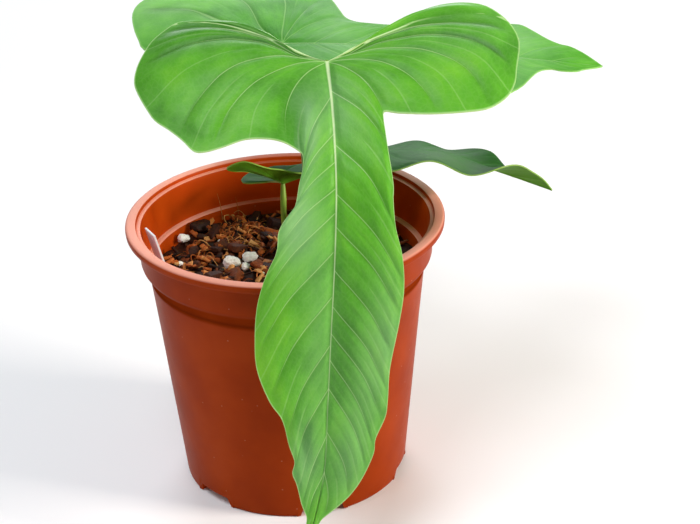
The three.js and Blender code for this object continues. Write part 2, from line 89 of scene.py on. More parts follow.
def ramp(knots, v):
    value = np.full(np.shape(v), float(knots[0][1]))
    for (start, low), (end, high) in zip(knots, knots[1:]):
        value = np.where(v >= start, low + (high - low) * smooth((v - start) / (end - start)), value)
    return value


def smoothLine(points, steps=lineSteps):
    held = np.array(points, float)
    held = np.vstack([2 * held[0] - held[1], held, 2 * held[-1] - held[-2]])
    line = []
    for a, b, c, d in zip(held, held[1:], held[2:], held[3:]):
        for t in np.arange(steps) / steps:
            bend = (2 * a - 5 * b + 4 * c - d) * t**2 + (3 * b - a - 3 * c + d) * t**3
            line.append(0.5 * (2 * b + (c - a) * t + bend))
    return np.array(line + [held[-2]])


def lineLengths(line):
    return np.concatenate([[0], np.cumsum(np.linalg.norm(np.diff(line, axis=0), axis=1))])


def alongLine(line, lengths, at):
    return np.stack([np.interp(at, lengths, line[:, k]) for k in range(line.shape[1])], -1)


def evenLine(points, count):
    line = smoothLine(points)
    lengths = lineLengths(line)
    return alongLine(line, lengths, np.linspace(0, lengths[-1], count))


def unit(v):
    return v / np.maximum(np.linalg.norm(v, axis=-1, keepdims=True), 1e-12)


# Finished pieces
def meshObject(bm, name):
    mesh = bpy.data.meshes.new(name)
    bm.to_mesh(mesh)
    bm.free()
    made = bpy.data.objects.new(name, mesh)
    bpy.context.scene.collection.objects.link(made)
    return made


def finishPiece(bm, name, materials, nodes, sharp):
    # sharp is the angle in degrees from which an edge shows
    bmesh.ops.recalc_face_normals(bm, faces=bm.faces)
    piece = meshObject(bm, name)
    for material in materials:
        piece.data.materials.append(material)
    piece.data.shade_smooth()
    piece.data.set_sharp_from_angle(angle=radians(sharp))
    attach(piece, "root")
    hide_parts(*nodes)
    print("piece", name, len(piece.data.polygons), "faces")


def pourInto(bm, part):
    # moves a small part into a large one, because operators slow down in a large mesh
    mesh = bpy.data.meshes.new("part")
    part.to_mesh(mesh)
    part.free()
    bm.from_mesh(mesh)
    bpy.data.meshes.remove(mesh)


def bentRod(bm, points, radii, sides, rings, material=0):
    # a ring pushed along a line, open at the foot and closed at the top
    line = evenLine(points, rings)
    sizes = np.interp(np.linspace(0, 1, rings), np.linspace(0, 1, len(radii)), radii)
    tangents = unit(np.gradient(line, axis=0))
    turn = Vector(tangents[0]).to_track_quat("Z", "Y")
    place = Matrix.Translation(Vector(line[0]) * mm) @ turn.to_matrix().to_4x4()
    ring = bmesh.ops.create_circle(bm, segments=sides, radius=sizes[0] * mm, matrix=place)["verts"]
    edges = list({edge for vert in ring for edge in vert.link_edges})
    for k in range(1, rings):
        pushed = bmesh.ops.extrude_edge_only(bm, edges=edges)["geom"]
        ring = [g for g in pushed if isinstance(g, bmesh.types.BMVert)]
        edges = [g for g in pushed if isinstance(g, bmesh.types.BMEdge)]
        before, after = Vector(line[k - 1]) * mm, Vector(line[k]) * mm
        bend = Vector(tangents[k - 1]).rotation_difference(Vector(tangents[k])).to_matrix().to_4x4()
        grow = Matrix.Scale(sizes[k] / sizes[k - 1], 4)
        bmesh.ops.transform(
            bm, verts=ring, matrix=Matrix.Translation(after) @ bend @ grow @ Matrix.Translation(-before)
        )
        for edge in edges:
            for face in edge.link_faces:
                face.material_index = material
    for face in bmesh.ops.contextual_create(bm, geom=edges)["faces"]:
        face.material_index = material


# Leaves. Each blade is laid out flat, v along the midrib from the stalk's joint and u across, then bent on
# its midrib line: fold is the angle at which a half leaves the midrib, curl its turn with each millimetre.
# veins of the lobes are (strength, line from the joint); laterals are (foot on the midrib, end u, end v).
frontLeaf = {
    "line": [
        (14.5, 20, 190), (15.8, -4, 186), (16.8, -28, 176.4), (17.6, -42, 165.8), (17.7, -54, 154),
        (17.3, -63, 141), (15.8, -69, 119.5), (13.6, -72, 93), (11.7, -73.5, 68), (9.6, -75.5, 42),
        (5.6, -77.6, 24), (2, -79, 13.5),
    ],
    "joint": 2,
    "across": (1, 0, 0),
    "roll": [(-30, 3), (60, 3), (172, 0)],
    "left": {
        "fold": [(-20, 8), (20, 10), (55, 12), (110, 7), (172, 10)],
        "curl": [(-20, -0.3), (30, -0.36), (60, -0.45), (172, -0.3)],
        "outline": [
            (19, -15.5), (24.5, -19.8), (32, -24.8), (41, -27.4), (50, -30), (55.5, -26.6), (60.3, -21.6),
            (63.2, -16), (65.8, -9.4), (67, -3), (66.4, 2), (63, 11.3), (60.4, 17), (55.5, 22.4),
            (51.4, 27.2), (47.7, 32), (44, 32.9), (37.7, 31.6), (30, 29.3), (22, 29.6), (15.5, 31.4),
            (11.6, 34.3), (10.8, 36.5), (11.3, 41), (12.5, 46), (14, 53.6), (17.3, 58), (19.3, 62.5),
            (19.7, 69), (23, 77.4), (25.5, 88), (26, 100), (25, 112), (20.5, 123.8), (15.8, 131),
            (13.2, 141), (11, 147.7), (11.3, 153), (9.3, 157.5), (6, 165.5), (3, 170.5), (2.1, 174.5),
            (0, 180.5),
        ],
        "rib": [(0, 0), (9, -4), (14.7, -10), (19, -15.5)],
        "veins": [
            (0.2, [(0, 0), (9, -3.5), (15.5, -9), (21, -13.6), (33, -20.3), (45, -24), (57, -25)]),
            (0.3, [(0, 0), (9, -2.9), (16, -7.8), (24, -12.4), (36, -15.5), (50, -14.5), (66, -8)]),
            (0.8, [(0, 0), (8, -1.7), (17.6, -3.6), (32.5, -0.5), (44.6, 9.4), (54, 26)]),
            (0.6, [(0, 0), (7, 0), (14.6, 1.8), (26.3, 7.6), (35.1, 17.8), (41, 33)]),
            (0.5, [(0, 0), (7.6, 4.8), (13.5, 12.3), (16.2, 21), (16, 31)]),
        ],
        "laterals": [
            (14, 11.2, 38), (28, 12.5, 47), (38, 15.5, 56), (47, 19.5, 68), (55, 25, 88), (68, 26, 108),
            (84, 20.5, 124), (102, 14, 138), (119, 11.3, 152), (137, 6, 165.5), (152, 2.8, 171.5),
        ],
    },
    "right": {
        "fold": [(-20, 8), (20, 9), (55, 10), (110, 7), (172, 10)],
        "curl": [(-20, -0.26), (30, -0.3), (60, -0.45), (172, -0.3)],
        "outline": [
            (17.6, -8.5), (28.2, -14.6), (37.7, -19.5), (47.4, -21.4), (56.5, -20), (62, -15), (65.5, -8.4),
            (66.8, -2), (66.2, 4), (64, 11.5), (62.6, 16), (59.3, 20.1), (52.8, 23.6), (44.4, 24.6),
            (33, 24.6), (22.6, 23.5), (17.6, 22.4), (17, 24.4), (17.3, 29), (18.1, 37.6), (19.2, 46.8),
            (19.1, 51), (20.1, 59.5), (22.7, 69), (23.8, 80.3), (22.9, 93), (20.8, 109.8), (20.7, 122),
            (20.2, 129), (17.2, 137.5), (16.8, 143), (14.1, 151), (10.9, 157.9), (7, 164), (2.8, 170),
            (1.6, 174.5), (0, 180.5),
        ],
        "rib": [(0, 0), (6.5, -2), (12, -5), (17.6, -8.5)],
        "veins": [
            (0.2, [(0, 0), (6.5, -1.6), (12, -4.3), (18, -7), (34, -10.8), (50.2, -10.1), (66, -5)]),
            (0.4, [(0, 0), (10, -2.6), (20.5, -5.3), (38, -6), (52.5, -0.4), (64, 12)]),
            (0.7, [(0, 0), (9, -1.2), (19.1, -1.7), (34.5, 1.5), (46.1, 9.6), (54, 23)]),
            (0.6, [(0, 0), (12, 1.8), (22, 6.5), (30, 14.1), (36, 25)]),
            (0.5, [(0, 0), (5.9, 4), (10.8, 9), (14.5, 15), (17.3, 22.4)]),
        ],
        "laterals": [
            (12, 17.3, 33), (32, 20.2, 60), (49, 23.5, 78), (60, 23.2, 90), (75, 21.3, 105),
            (88, 20.7, 119), (98, 19.8, 131), (108, 17, 142), (119, 14.6, 149.5), (136, 9.8, 159.5),
            (152, 3.6, 169),
        ],
    },
    "stalk": [
        (12, -5.5, 66), (12, -5.5, 78), (12, -5.5, 91), (12.6, -8, 112), (13.8, -13, 142), (15.6, -21, 166),
        (16.8, -26.5, 173.5), (16.8, -27.9, 176.1),
    ],
    "stalkRadii": (2.6, 1.75),
    "midrib": [(0, 0.72), (15, 0.5), (50, 0.3), (90, 0.19), (180, 0.12)],
    "ridge": 0.35,
    "keel": 1.2,
    "quilt": (0.09, 0.8),
    "crease": 0.9,
    "lobeRows": 11,
    "rowSpacing": 1.1,
    "columns": 36,
    # dips and puckers as (u, v, reach in u, reach in v, height)
    "dents": [
        (-13, 27, 4, 10, -2.2), (-11, 133, 2.2, 6, 0.7), (-8, 141, 1.5, 7, -0.8), (-14, 128, 2, 5, -0.6),
        (-9, 150, 2, 5, 0.5), (40, 4, 12, 7, -0.6), (-48, 6, 14, 8, -0.5), (10, 140, 4, 9, 0.4),
    ],
    # painted light, and painted shade where the amount is below 0, then waxy bloom with painted sheen, as (u,
    # v, reach in u, reach in v, amount)
    "young": [
        (-66, 4, 14, 26, 0.15), (-22, 98, 9, 26, 0.5), (64, 2, 9, 18, -0.5), (-40, -22, 30, 7, -0.5),
        (36, -16, 24, 5, -0.3), (-44, 26, 12, 7, -0.3), (0, 176, 8, 10, 0.5), (30, 14, 16, 8, 0.3),
        (-34, 22, 12, 8, 0.3), (22, 70, 5, 18, 0.25), (-8, 12, 5, 9, -0.5), (-15, 29, 4, 12, -1.2),
        (-7, 140, 2, 12, -0.9), (-10, 131, 1.5, 7, -0.8), (4, 92, 5, 30, -0.6), (-34, -12, 22, 5, -0.4),
        (6, 146, 4, 12, -0.15), (-64, 2, 10, 20, -0.5), (-24, 112, 5, 14, 0.3),
    ],
    "bloomAndSheen": [
        (-14, 58, 8, 16, 0.75), (0, 18, 8, 14, 0.35), (-8, 26, 3, 12, 0.5), (20, 98, 6, 26, 0.35),
        (-4, 100, 6, 40, 0.25), (-8, 150, 7, 16, 0.4), (9, 146, 7, 22, 0.4), (14, 112, 7, 24, 0.25),
        (-36, 8, 14, 8, 0.12), (44, 0, 20, 10, 0.12),
    ],
}

backLeaf = {
    "line": [
        (-62, 42, 152), (-32, 43, 157.5), (2, 43, 159.3), (40, 41.5, 157.3), (80, 43, 151.5),
        (128, 50, 142),
    ],
    "joint": 2,
    "across": (0, 1, 0),
    "roll": [(-60, 12), (130, 12)],
    "left": {
        "fold": [(-60, 4), (130, 4)],
        "curl": [(-60, -0.3), (130, -0.35)],
        "outline": [
            (5, -16), (7, -30), (10, -42), (16, -49), (26, -52), (38, -49), (47, -41), (53, -29), (54, -14),
            (49, 2), (41, 13), (31, 20), (22, 24), (16, 29), (14, 36), (14.5, 46), (17.5, 60), (22, 73),
            (26, 82.5), (24.2, 86), (20.1, 90.2), (14, 94.8), (8.9, 99.4), (6.6, 104.7), (7.1, 109.2),
            (6.3, 115.4), (4.1, 119.6), (1.4, 126), (0, 128.5),
        ],
        "rib": [(0, 0), (2, -8), (5, -16)],
        "veins": [
            (1.0, [(0, 0), (2.6, -8), (6.5, -16), (13, -30), (24, -50)]),
            (0.9, [(0, 0), (4, -8), (10, -16), (24, -26), (44, -36)]),
            (0.8, [(0, 0), (7, -8), (18, -14), (35, -16), (53, -12)]),
            (0.6, [(0, 0), (9, -4), (22, -4), (36, 2), (46, 9)]),
            (0.5, [(0, 0), (9, 3), (16, 8), (21, 15), (22, 24)]),
        ],
        "laterals": [
            (12, 14.5, 35), (24, 15.5, 53), (38, 20, 67), (51, 25, 80), (64, 20, 90), (77, 9, 99.5),
            (90, 7, 110), (105, 4, 120),
        ],
    },
    "right": {
        "fold": [(-60, 4), (130, 4)],
        "curl": [(-60, -0.25), (130, -0.35)],
        "outline": [
            (4, -16), (6, -30), (7, -44), (9.5, -53.8), (15, -54.9), (28, -56.9), (42.5, -57.2),
            (53, -53.6), (61, -44), (65.5, -30), (65, -13), (58, 2), (47, 13), (35.2, 18.7), (24.3, 22.5),
            (19.5, 24.6), (16.8, 28.5), (16, 35), (15.8, 44), (17.5, 60), (21, 76), (24.5, 88), (26.3, 97),
            (26, 101.3), (22.3, 104.5), (16.6, 109), (13.2, 113.5), (12, 118), (8.2, 122.4), (3, 126.4),
            (0, 128.5),
        ],
        "rib": [(0, 0), (1.8, -8), (4, -16)],
        "veins": [
            (1.0, [(0, 0), (4, -7), (11, -15), (20.6, -23.5), (32.6, -34), (46, -55)]),
            (0.9, [(0, 0), (6, -4.6), (14, -8.6), (32, -13), (48, -22), (63, -38)]),
            (1.1, [(0, 0), (8, 0), (18, 0.8), (32.7, 1.2), (48, -2), (64, -10)]),
            (0.6, [(0, 0), (8, 2.4), (18, 6), (30, 11), (40, 16.5)]),
            (0.5, [(0, 0), (6, 4), (12, 9), (17.5, 16), (20.5, 24.2)]),
        ],
        "laterals": [
            (12, 16, 35), (24, 16.2, 53), (38, 19, 67), (52, 22.6, 80), (66, 26, 93), (79, 20, 106),
            (92, 12.5, 115), (107, 5, 124.5),
        ],
    },
    "stalk": [
        (7, 8.5, 66), (7, 8.5, 78), (7.4, 8.2, 91), (8.4, 6.2, 106), (9, 5.4, 119), (8.6, 8.8, 128),
        (6.5, 19, 138.5), (3.8, 34, 150), (2.2, 42.2, 156), (2, 43, 159),
    ],
    "stalkRadii": (2.6, 1.75),
    "midrib": [(0, 0.3), (3, 0.05), (128, 0.05)],
    "ridge": 0.1,
    "keel": 1.2,
    "quilt": (0.03, 0.25),
    "crease": 0.2,
    "lobeRows": 9,
    "rowSpacing": 1.3,
    "columns": 30,
    "dents": [],
    # painted light and shade, then waxy bloom with painted sheen, as on the front leaf
    "young": [(50, -40, 20, 20, 0.7), (-10, 8, 12, 12, -0.5), (6, -6, 8, 8, -0.8), (20, 96, 8, 20, 0.2)],
    "bloomAndSheen": [(6, 22, 22, 14, 0.4), (0, 80, 30, 22, 0.45), (16, 92, 14, 22, 0.3)],
}

lowLeaf = {
    "line": [
        (-26, 13, 108.3), (-0.6, 15, 113.9), (16, 18, 118), (31, 20.5, 120.6), (44, 22, 121.4),
        (62, 22.5, 119.4), (82, 21.5, 112), (104.5, 19, 103.3),
    ],
    "joint": 1,
    "across": (0, 1, 0),
    "roll": [(-20, 0), (110, 0)],
    "left": {
        "fold": [
            (-17, 48), (-8, 50), (0, 47), (10, 24), (18, 5), (28, -4), (40, -4), (57, 10), (72, 0),
            (96, 46), (110, 54),
        ],
        "curl": [(-20, 0), (110, 0)],
        "outline": [
            (8, -5), (12.5, -8.5), (17, -12), (20.5, -16), (23.8, -18), (25.8, -15.6), (25, -11.6),
            (22, -9), (17, -5.5), (12.5, -1), (9, 4), (7.5, 9), (7.6, 15), (10, 23), (14, 32), (16.5, 41),
            (17, 55), (16.5, 68), (15.3, 80), (13, 88), (9.8, 96), (5.5, 103.5), (0, 109.6),
        ],
        "rib": [(0, 0), (4, -2.4), (8, -5)],
        "veins": [
            (0.6, [(0, 0), (7, -3.6), (15, -8.6), (25.5, -16)]),
            (0.4, [(0, 0), (4, -0.2), (7.5, 2.6), (8.4, 6)]),
        ],
        "laterals": [
            (10, 8.5, 19), (18, 12.5, 29), (28, 16.2, 40), (41, 17, 54), (54, 16.5, 68), (67, 15, 81),
            (80, 10, 95.5), (93, 4.6, 104.4),
        ],
    },
    "right": {
        "fold": [
            (-17, -5), (-6, -4), (5, 6), (20, -6), (42, -16), (56, -8), (67, -15), (84, 8), (94, -11),
            (110, -13),
        ],
        "curl": [(-20, 0), (110, 0)],
        "outline": [
            (4, -5), (7, -10), (11, -14.5), (16, -15.5), (20.5, -13), (22, -8), (19, -3), (13.5, 1.5),
            (9.8, 6), (9, 13), (10.5, 24), (13.5, 36), (15.5, 50), (16, 64), (15, 76), (12.5, 87), (9, 96),
            (5, 103), (0, 109.6),
        ],
        "rib": [(0, 0), (2, -2.4), (4, -5)],
        "veins": [
            (0.6, [(0, 0), (5, -3.4), (11, -7.4), (19, -14)]),
            (0.4, [(0, 0), (4, 0.6), (7, 3), (9.3, 9)]),
        ],
        "laterals": [
            (10, 9.8, 21), (19, 12.6, 32), (29, 14.8, 44), (41, 15.9, 57), (54, 15.6, 70), (67, 13.6, 82.6),
            (80, 9, 96), (93, 4, 104.6),
        ],
    },
    "stalk": [
        (-0.5, 5.5, 66), (-0.5, 5.5, 76), (-0.5, 5.5, 86), (-0.6, 10.4, 101), (-0.3, 14.4, 112),
        (-0.6, 15, 113.7),
    ],
    "stalkRadii": (1.2, 0.95),
    "midrib": [(0, 0.5), (12, 0.2), (110, 0.06)],
    "ridge": 0.2,
    "keel": 0.8,
    "quilt": (0.05, 0.3),
    "crease": 0,
    "lobeRows": 12,
    "rowSpacing": 1.2,
    "columns": 20,
    "dents": [],
    # painted light and shade, then waxy bloom with painted sheen; the tip is painted in shade
    "young": [(0, 102, 16, 22, -1.0), (-16, -8, 14, 14, 0.5)],
    "bloomAndSheen": [(0, 40, 40, 36, 0.06), (-8, 66, 14, 13, 0.3)],
}


# What the three blades share, lengths in millimetres. Past far, in vein widths, no vein shows.
blade = {
    "above": 0.1,  # from the middle of the tissue to the upper skin, and below to the lower
    "below": 0.45,
    "veinWidth": 0.25,  # for a vein of strength 1, and leastWidth for one of strength 0
    "leastWidth": 0.11,
    "ribStrength": 0.6,
    "lateralStrength": 0.45,
    "tipStrength": 0.3,
    "arch": 0.06,  # of a lateral, as a share of its length
    "forkWidth": 0.2,
    "grooveReach": 1.3,
    "creaseReach": 1.1,
    "far": 20,
    "fade": (0.12, 0.15),  # shares of a row over which swells rise from the midrib and sink to the margin
    "tipLeast": 0.12,  # how much of the ridge, keel and ribs is left at the tip
    # strength of the painted shade beside the veins (grooves) and depth of creases, by the number of veins
    # from the notch
    "grooveShadeStrength": ([0.6, 1, 2, 3, 6], [0, 1.3, 1.2, 0.5, 0.2]),
    "creases": ([0.4, 1, 2, 2.6], [0, 1, 1, 0]),
    "ripple": (9, 0.35),  # across and high
    "notchRidge": (0.8, 0.8),  # high, as a share of the ridge, and across
    "notchRib": 0.6,  # half the width of the bare rib at the notch
    "underRib": (0.35, 1.6),  # high and across
    "streak": (7, 0.12, 9),  # noise per vein, per millimetre along it and between the halves
    "stalkSides": 16,
    "stalkRings": 56,
}


def bladePlace(leaf, u, v):
    line, lengths = leaf["measured"]
    held = np.clip(v, lengths[0], lengths[-1])
    ahead, behind = alongLine(line, lengths, held + 1), alongLine(line, lengths, held - 1)
    along = unit(ahead - behind)
    across = np.broadcast_to(np.array(leaf["across"], float), along.shape)
    across = unit(across - (across * along).sum(-1, keepdims=True) * along)
    facing = np.cross(along, across)
    roll = np.radians(ramp(leaf["roll"], v))[..., None]
    sideways = np.cos(roll) * across + np.sin(roll) * facing
    facing = np.cos(roll) * facing - np.sin(roll) * across
    width = np.abs(u)
    knots = [np.where(u < 0, ramp(leaf["left"][k], v), ramp(leaf["right"][k], v)) for k in ("fold", "curl")]
    fold, curl = np.radians(knots[0]), np.radians(knots[1])
    curl = np.where(np.abs(curl) < 1e-6, 1e-6, curl)
    out = (np.sin(fold + curl * width) - np.sin(fold)) / curl
    rise = (np.cos(fold) - np.cos(fold + curl * width)) / curl
    middle = alongLine(line, lengths, held) + along * (v - held)[..., None]
    return middle + sideways * (np.sign(u) * out)[..., None] + facing * rise[..., None]


def bladeFacing(leaf, u, v):
    sideways = bladePlace(leaf, u + 0.5, v) - bladePlace(leaf, u - 0.5, v)
    along = bladePlace(leaf, u, v + 0.5) - bladePlace(leaf, u, v - 0.5)
    return unit(np.cross(along, sideways))


def halfVeins(half):
    # the veins of a half as (strength, line), from the bare rib at the notch to the tip, and their ends on
    # the outline, measured along it
    line = smoothLine(half["outline"], lineSteps // 2)
    lengths = lineLengths(line)
    veins = [(blade["ribStrength"], half["rib"])] + half["veins"]
    for foot, u, v in half["laterals"]:
        rise, arch = v - foot, blade["arch"]
        middle = (u / 2 + arch * rise, foot + rise / 2 - arch * u)
        veins.append((blade["lateralStrength"], [(0, foot), middle, (u, v)]))
    tip = half["outline"][-1]
    veins.append((blade["tipStrength"], [(0, tip[1] - 0.03), (0, tip[1] - 0.01), tip]))
    ends = []
    for _, points in veins:
        ends.append(lengths[np.argmin(np.hypot(*(line - points[-1]).T))])
    ends[0], ends[-1] = 0.0, lengths[-1]
    return {"line": line, "lengths": lengths, "veins": veins, "ends": np.maximum.accumulate(ends)}


def layHalf(measured, phases, columns):
    # flat places of a half's grid: rows between two veins blend their lines and reach the margin
    shares = np.linspace(0, 1, columns + 1)
    shares = shares - 0.1 * np.sin(pi * shares) * (1 - shares)  # closer at the midrib
    lines = np.array([smoothLineAt(points, shares) for width, points in measured["veins"]])
    place = np.clip(np.floor(phases).astype(int), 0, len(lines) - 2)
    share = (phases - place)[:, None, None]
    flat = lines[place] * (1 - share) + lines[place + 1] * share
    ends = np.interp(phases, np.arange(len(lines)), measured["ends"])
    margin = alongLine(measured["line"], measured["lengths"], ends)
    flat += (margin - flat[:, -1])[:, None, :] * (shares**2)[None, :, None]
    flat[..., 0] = np.maximum(flat[..., 0], 0)
    gap = lines[place + 1] - lines[place]
    run = np.gradient(flat, axis=1)
    spread = np.abs(gap[..., 0] * run[..., 1] - gap[..., 1] * run[..., 0]) / np.maximum(
        np.linalg.norm(run, axis=-1), 1e-6
    )
    share = share[..., 0]
    widths = np.array([width for width, points in measured["veins"]])
    nearest = np.where(share < 0.5, widths[place][:, None], widths[place + 1][:, None])
    taper = nearest * (1 - 0.65 * shares[None]) * blade["veinWidth"] + blade["leastWidth"]
    fromVein = np.minimum(share, 1 - share) * spread
    fromFork = np.abs(share - 0.5) * spread
    reach = np.linalg.norm(np.diff(flat, axis=1), axis=-1).sum(1)[:, None]
    alongRib = np.where(phases[:, None] < 1, phases[:, None] * spread, np.inf)
    # veins fade before the margin, and forks begin a good way from the midrib
    faded = 0.85 * smooth((shares[None] - 0.5) / 0.45)
    unforked = 4 * (1 - smooth((shares[None] - 0.25) / 0.3))
    depths = {key: np.interp(phases, *blade[key])[:, None] for key in ("grooveShadeStrength", "creases")}
    return {
        "u": flat[..., 0],
        "v": flat[..., 1],
        "main": np.minimum(fromVein / taper + faded, blade["far"]),
        # strength of the painted shade beside each vein
        "grooveShade": np.exp(-fromVein / blade["grooveReach"]) * depths["grooveShadeStrength"],
        "crease": np.exp(-((fromVein / blade["creaseReach"]) ** 2)) * depths["creases"],
        "fork": np.minimum(fromFork / blade["forkWidth"], blade["far"]) + unforked,
        "edge": np.minimum((1 - shares[None]) * reach, alongRib),
        "notch": np.minimum(alongRib, blade["far"]) * (1 + 1.5 * shares[None]),
        "share": np.broadcast_to(share, flat.shape[:2]),
        "spread": spread,
        "across": np.broadcast_to(shares[None], flat.shape[:2]),
        "row": np.broadcast_to(phases[:, None], flat.shape[:2]),
        "reached": reach * shares[None],
    }


def softSpots(spots, u, v):
    # the sum of spots given as (u, v, reach in u, reach in v, height)
    total = np.zeros(u.shape)
    for middleU, middleV, reachU, reachV, height in spots:
        total += height * np.exp(-(((u - middleU) / reachU) ** 2) - ((v - middleV) / reachV) ** 2)
    return total


def smoothLineAt(points, shares):
    line = smoothLine(points)
    lengths = lineLengths(line)
    return alongLine(line, lengths, shares * lengths[-1])


def bladeRows(leaf, halves):
    # phases of the rows: the lobes' rows for each half, then rows whose feet both halves share
    lobes = len(leaf["left"]["veins"])
    rows = np.arange(0, 2 * lobes * leaf["lobeRows"] + 1) / (2 * leaf["lobeRows"])
    feet = [np.array([points[0][1] for width, points in half["veins"][lobes:]], float) for half in halves]
    marks = np.unique(np.round(np.concatenate([[*f, *((f[1:] + f[:-1]) / 2)] for f in feet]), 3))
    shared = []
    for start, end in zip(marks, marks[1:]):
        count = max(1, round((end - start) / leaf["rowSpacing"]))
        shared += list(start + (end - start) * np.arange(1, count + 1) / count)
    shared = np.array([foot for foot in shared if foot > 0.2])
    return [np.concatenate([rows, lobes + np.interp(shared, f, np.arange(len(f)))]) for f in feet]


def makeLeaf(leaf, name, node, looks):
    line = smoothLine(leaf["line"])
    lengths = lineLengths(line)
    leaf["measured"] = (line, lengths - lengths[lineSteps * leaf["joint"]])
    halves = [halfVeins(leaf["left"]), halfVeins(leaf["right"])]
    phases = bladeRows(leaf, halves)
    left, right = [layHalf(half, phase, leaf["columns"]) for half, phase in zip(halves, phases)]
    left["u"] = -left["u"]
    both = {key: np.concatenate([left[key][:, :0:-1], right[key]], axis=1) for key in left}
    u, v, main, notch, share, across = [both[key] for key in ("u", "v", "main", "notch", "share", "across")]
    place, facing = bladePlace(leaf, u, v), bladeFacing(leaf, u, v)

    # the blade rises between its veins, and is uneven in small ripples
    slope, most = leaf["quilt"]
    swell = 0.8 * np.maximum(np.sin(pi * share), 0) ** 0.75 + 0.25 * np.abs(np.sin(2 * pi * share))
    near, far = blade["fade"]
    fade = smooth(across / near) * smooth((1 - across) / far)
    rise = np.minimum(slope * both["spread"], most) * swell * fade
    rise -= leaf["crease"] * both["crease"] * fade * (1 - across)
    rise += softSpots(leaf["dents"], u, v)
    reach, height = blade["ripple"]
    ripple = np.array([noise.noise(Vector((a / reach, b / reach, 3))) for a, b in zip(u.ravel(), v.ravel())])
    rise += height * ripple.reshape(u.shape) * fade

    # it stands in a low ridge on the midrib and at the notch, with a keel and ribs beneath
    midrib = ramp(leaf["midrib"], v)
    tipFade = np.clip(1 - np.hypot(u, v) / leaf["left"]["outline"][-1][1], blade["tipLeast"], 1)
    high, wide = blade["notchRidge"]
    ridge = np.exp(-((u / (1.1 * midrib)) ** 2)) * (v > -0.5)
    ridge = np.maximum(ridge, high * np.exp(-((notch / wide) ** 2)) * (1 - across))
    upper = place + facing * (rise + blade["above"] + leaf["ridge"] * ridge * tipFade)[..., None]
    deep, wide = blade["underRib"]
    keel = leaf["keel"] * np.exp(-((u / (1.5 * midrib)) ** 2)) * tipFade
    underRib = deep * np.exp(-((main / wide) ** 2)) * (1 - across) * tipFade
    lower = place + facing * (rise - blade["below"] - keel - underRib)[..., None]

    perVein, perMillimetre, apart = blade["streak"]
    attributes = {
        "veinPlace": (main, both["fork"], np.minimum(np.abs(u) / midrib, notch / blade["notchRib"])),
        "flatPlace": (u, v, both["edge"]),
        # skinPlace holds painted light and shade, waxy bloom with painted sheen, and painted shade beside the
        # veins
        "skinPlace": (softSpots(leaf["young"], u, v), softSpots(leaf["bloomAndSheen"], u, v), both["grooveShade"] * fade),
        "streakPlace": (perVein * both["row"], perMillimetre * both["reached"], apart * (u > 0)),
    }
    bm = bmesh.new()
    layers = {key: bm.verts.layers.float_vector.new(key) for key in attributes}
    rows, columns = u.shape
    rims = []
    for side, points in enumerate((upper, lower)):  # looks: 0 upper, 1 under, 2 margin, 3 stalk
        made = bmesh.ops.create_grid(bm, x_segments=columns - 1, y_segments=rows - 1, size=1)["verts"]
        for vert in made:
            i = round((vert.co.y + 1) / 2 * (rows - 1))
            j = round((vert.co.x + 1) / 2 * (columns - 1))
            vert.co = Vector(points[i, j]) * mm
            for key, values in attributes.items():
                vert[layers[key]] = [value[i, j] for value in values]
        faces = {face for vert in made for face in vert.link_faces}
        for face in faces:
            face.material_index = side
        rims += [edge for face in faces for edge in face.edges if edge.is_boundary]
    for face in bmesh.ops.bridge_loops(bm, edges=list(set(rims)))["faces"]:
        face.material_index = 2
    bmesh.ops.remove_doubles(bm, verts=bm.verts, dist=2 * weld * mm)

    # the stalk thins out up to a slightly thicker knee under the blade
    foot, top = leaf["stalkRadii"]
    knee = top * 1.15
    radii = [foot + (top - foot) * k for k in (0, 1 / 3, 1 / 2, 2 / 3, 1, 1)] + [knee, knee * 1.1, knee * 0.7]
    bentRod(bm, leaf["stalk"], radii, blade["stalkSides"], blade["stalkRings"], material=3)
    finishPiece(bm, name, looks, [node], sharp=60)
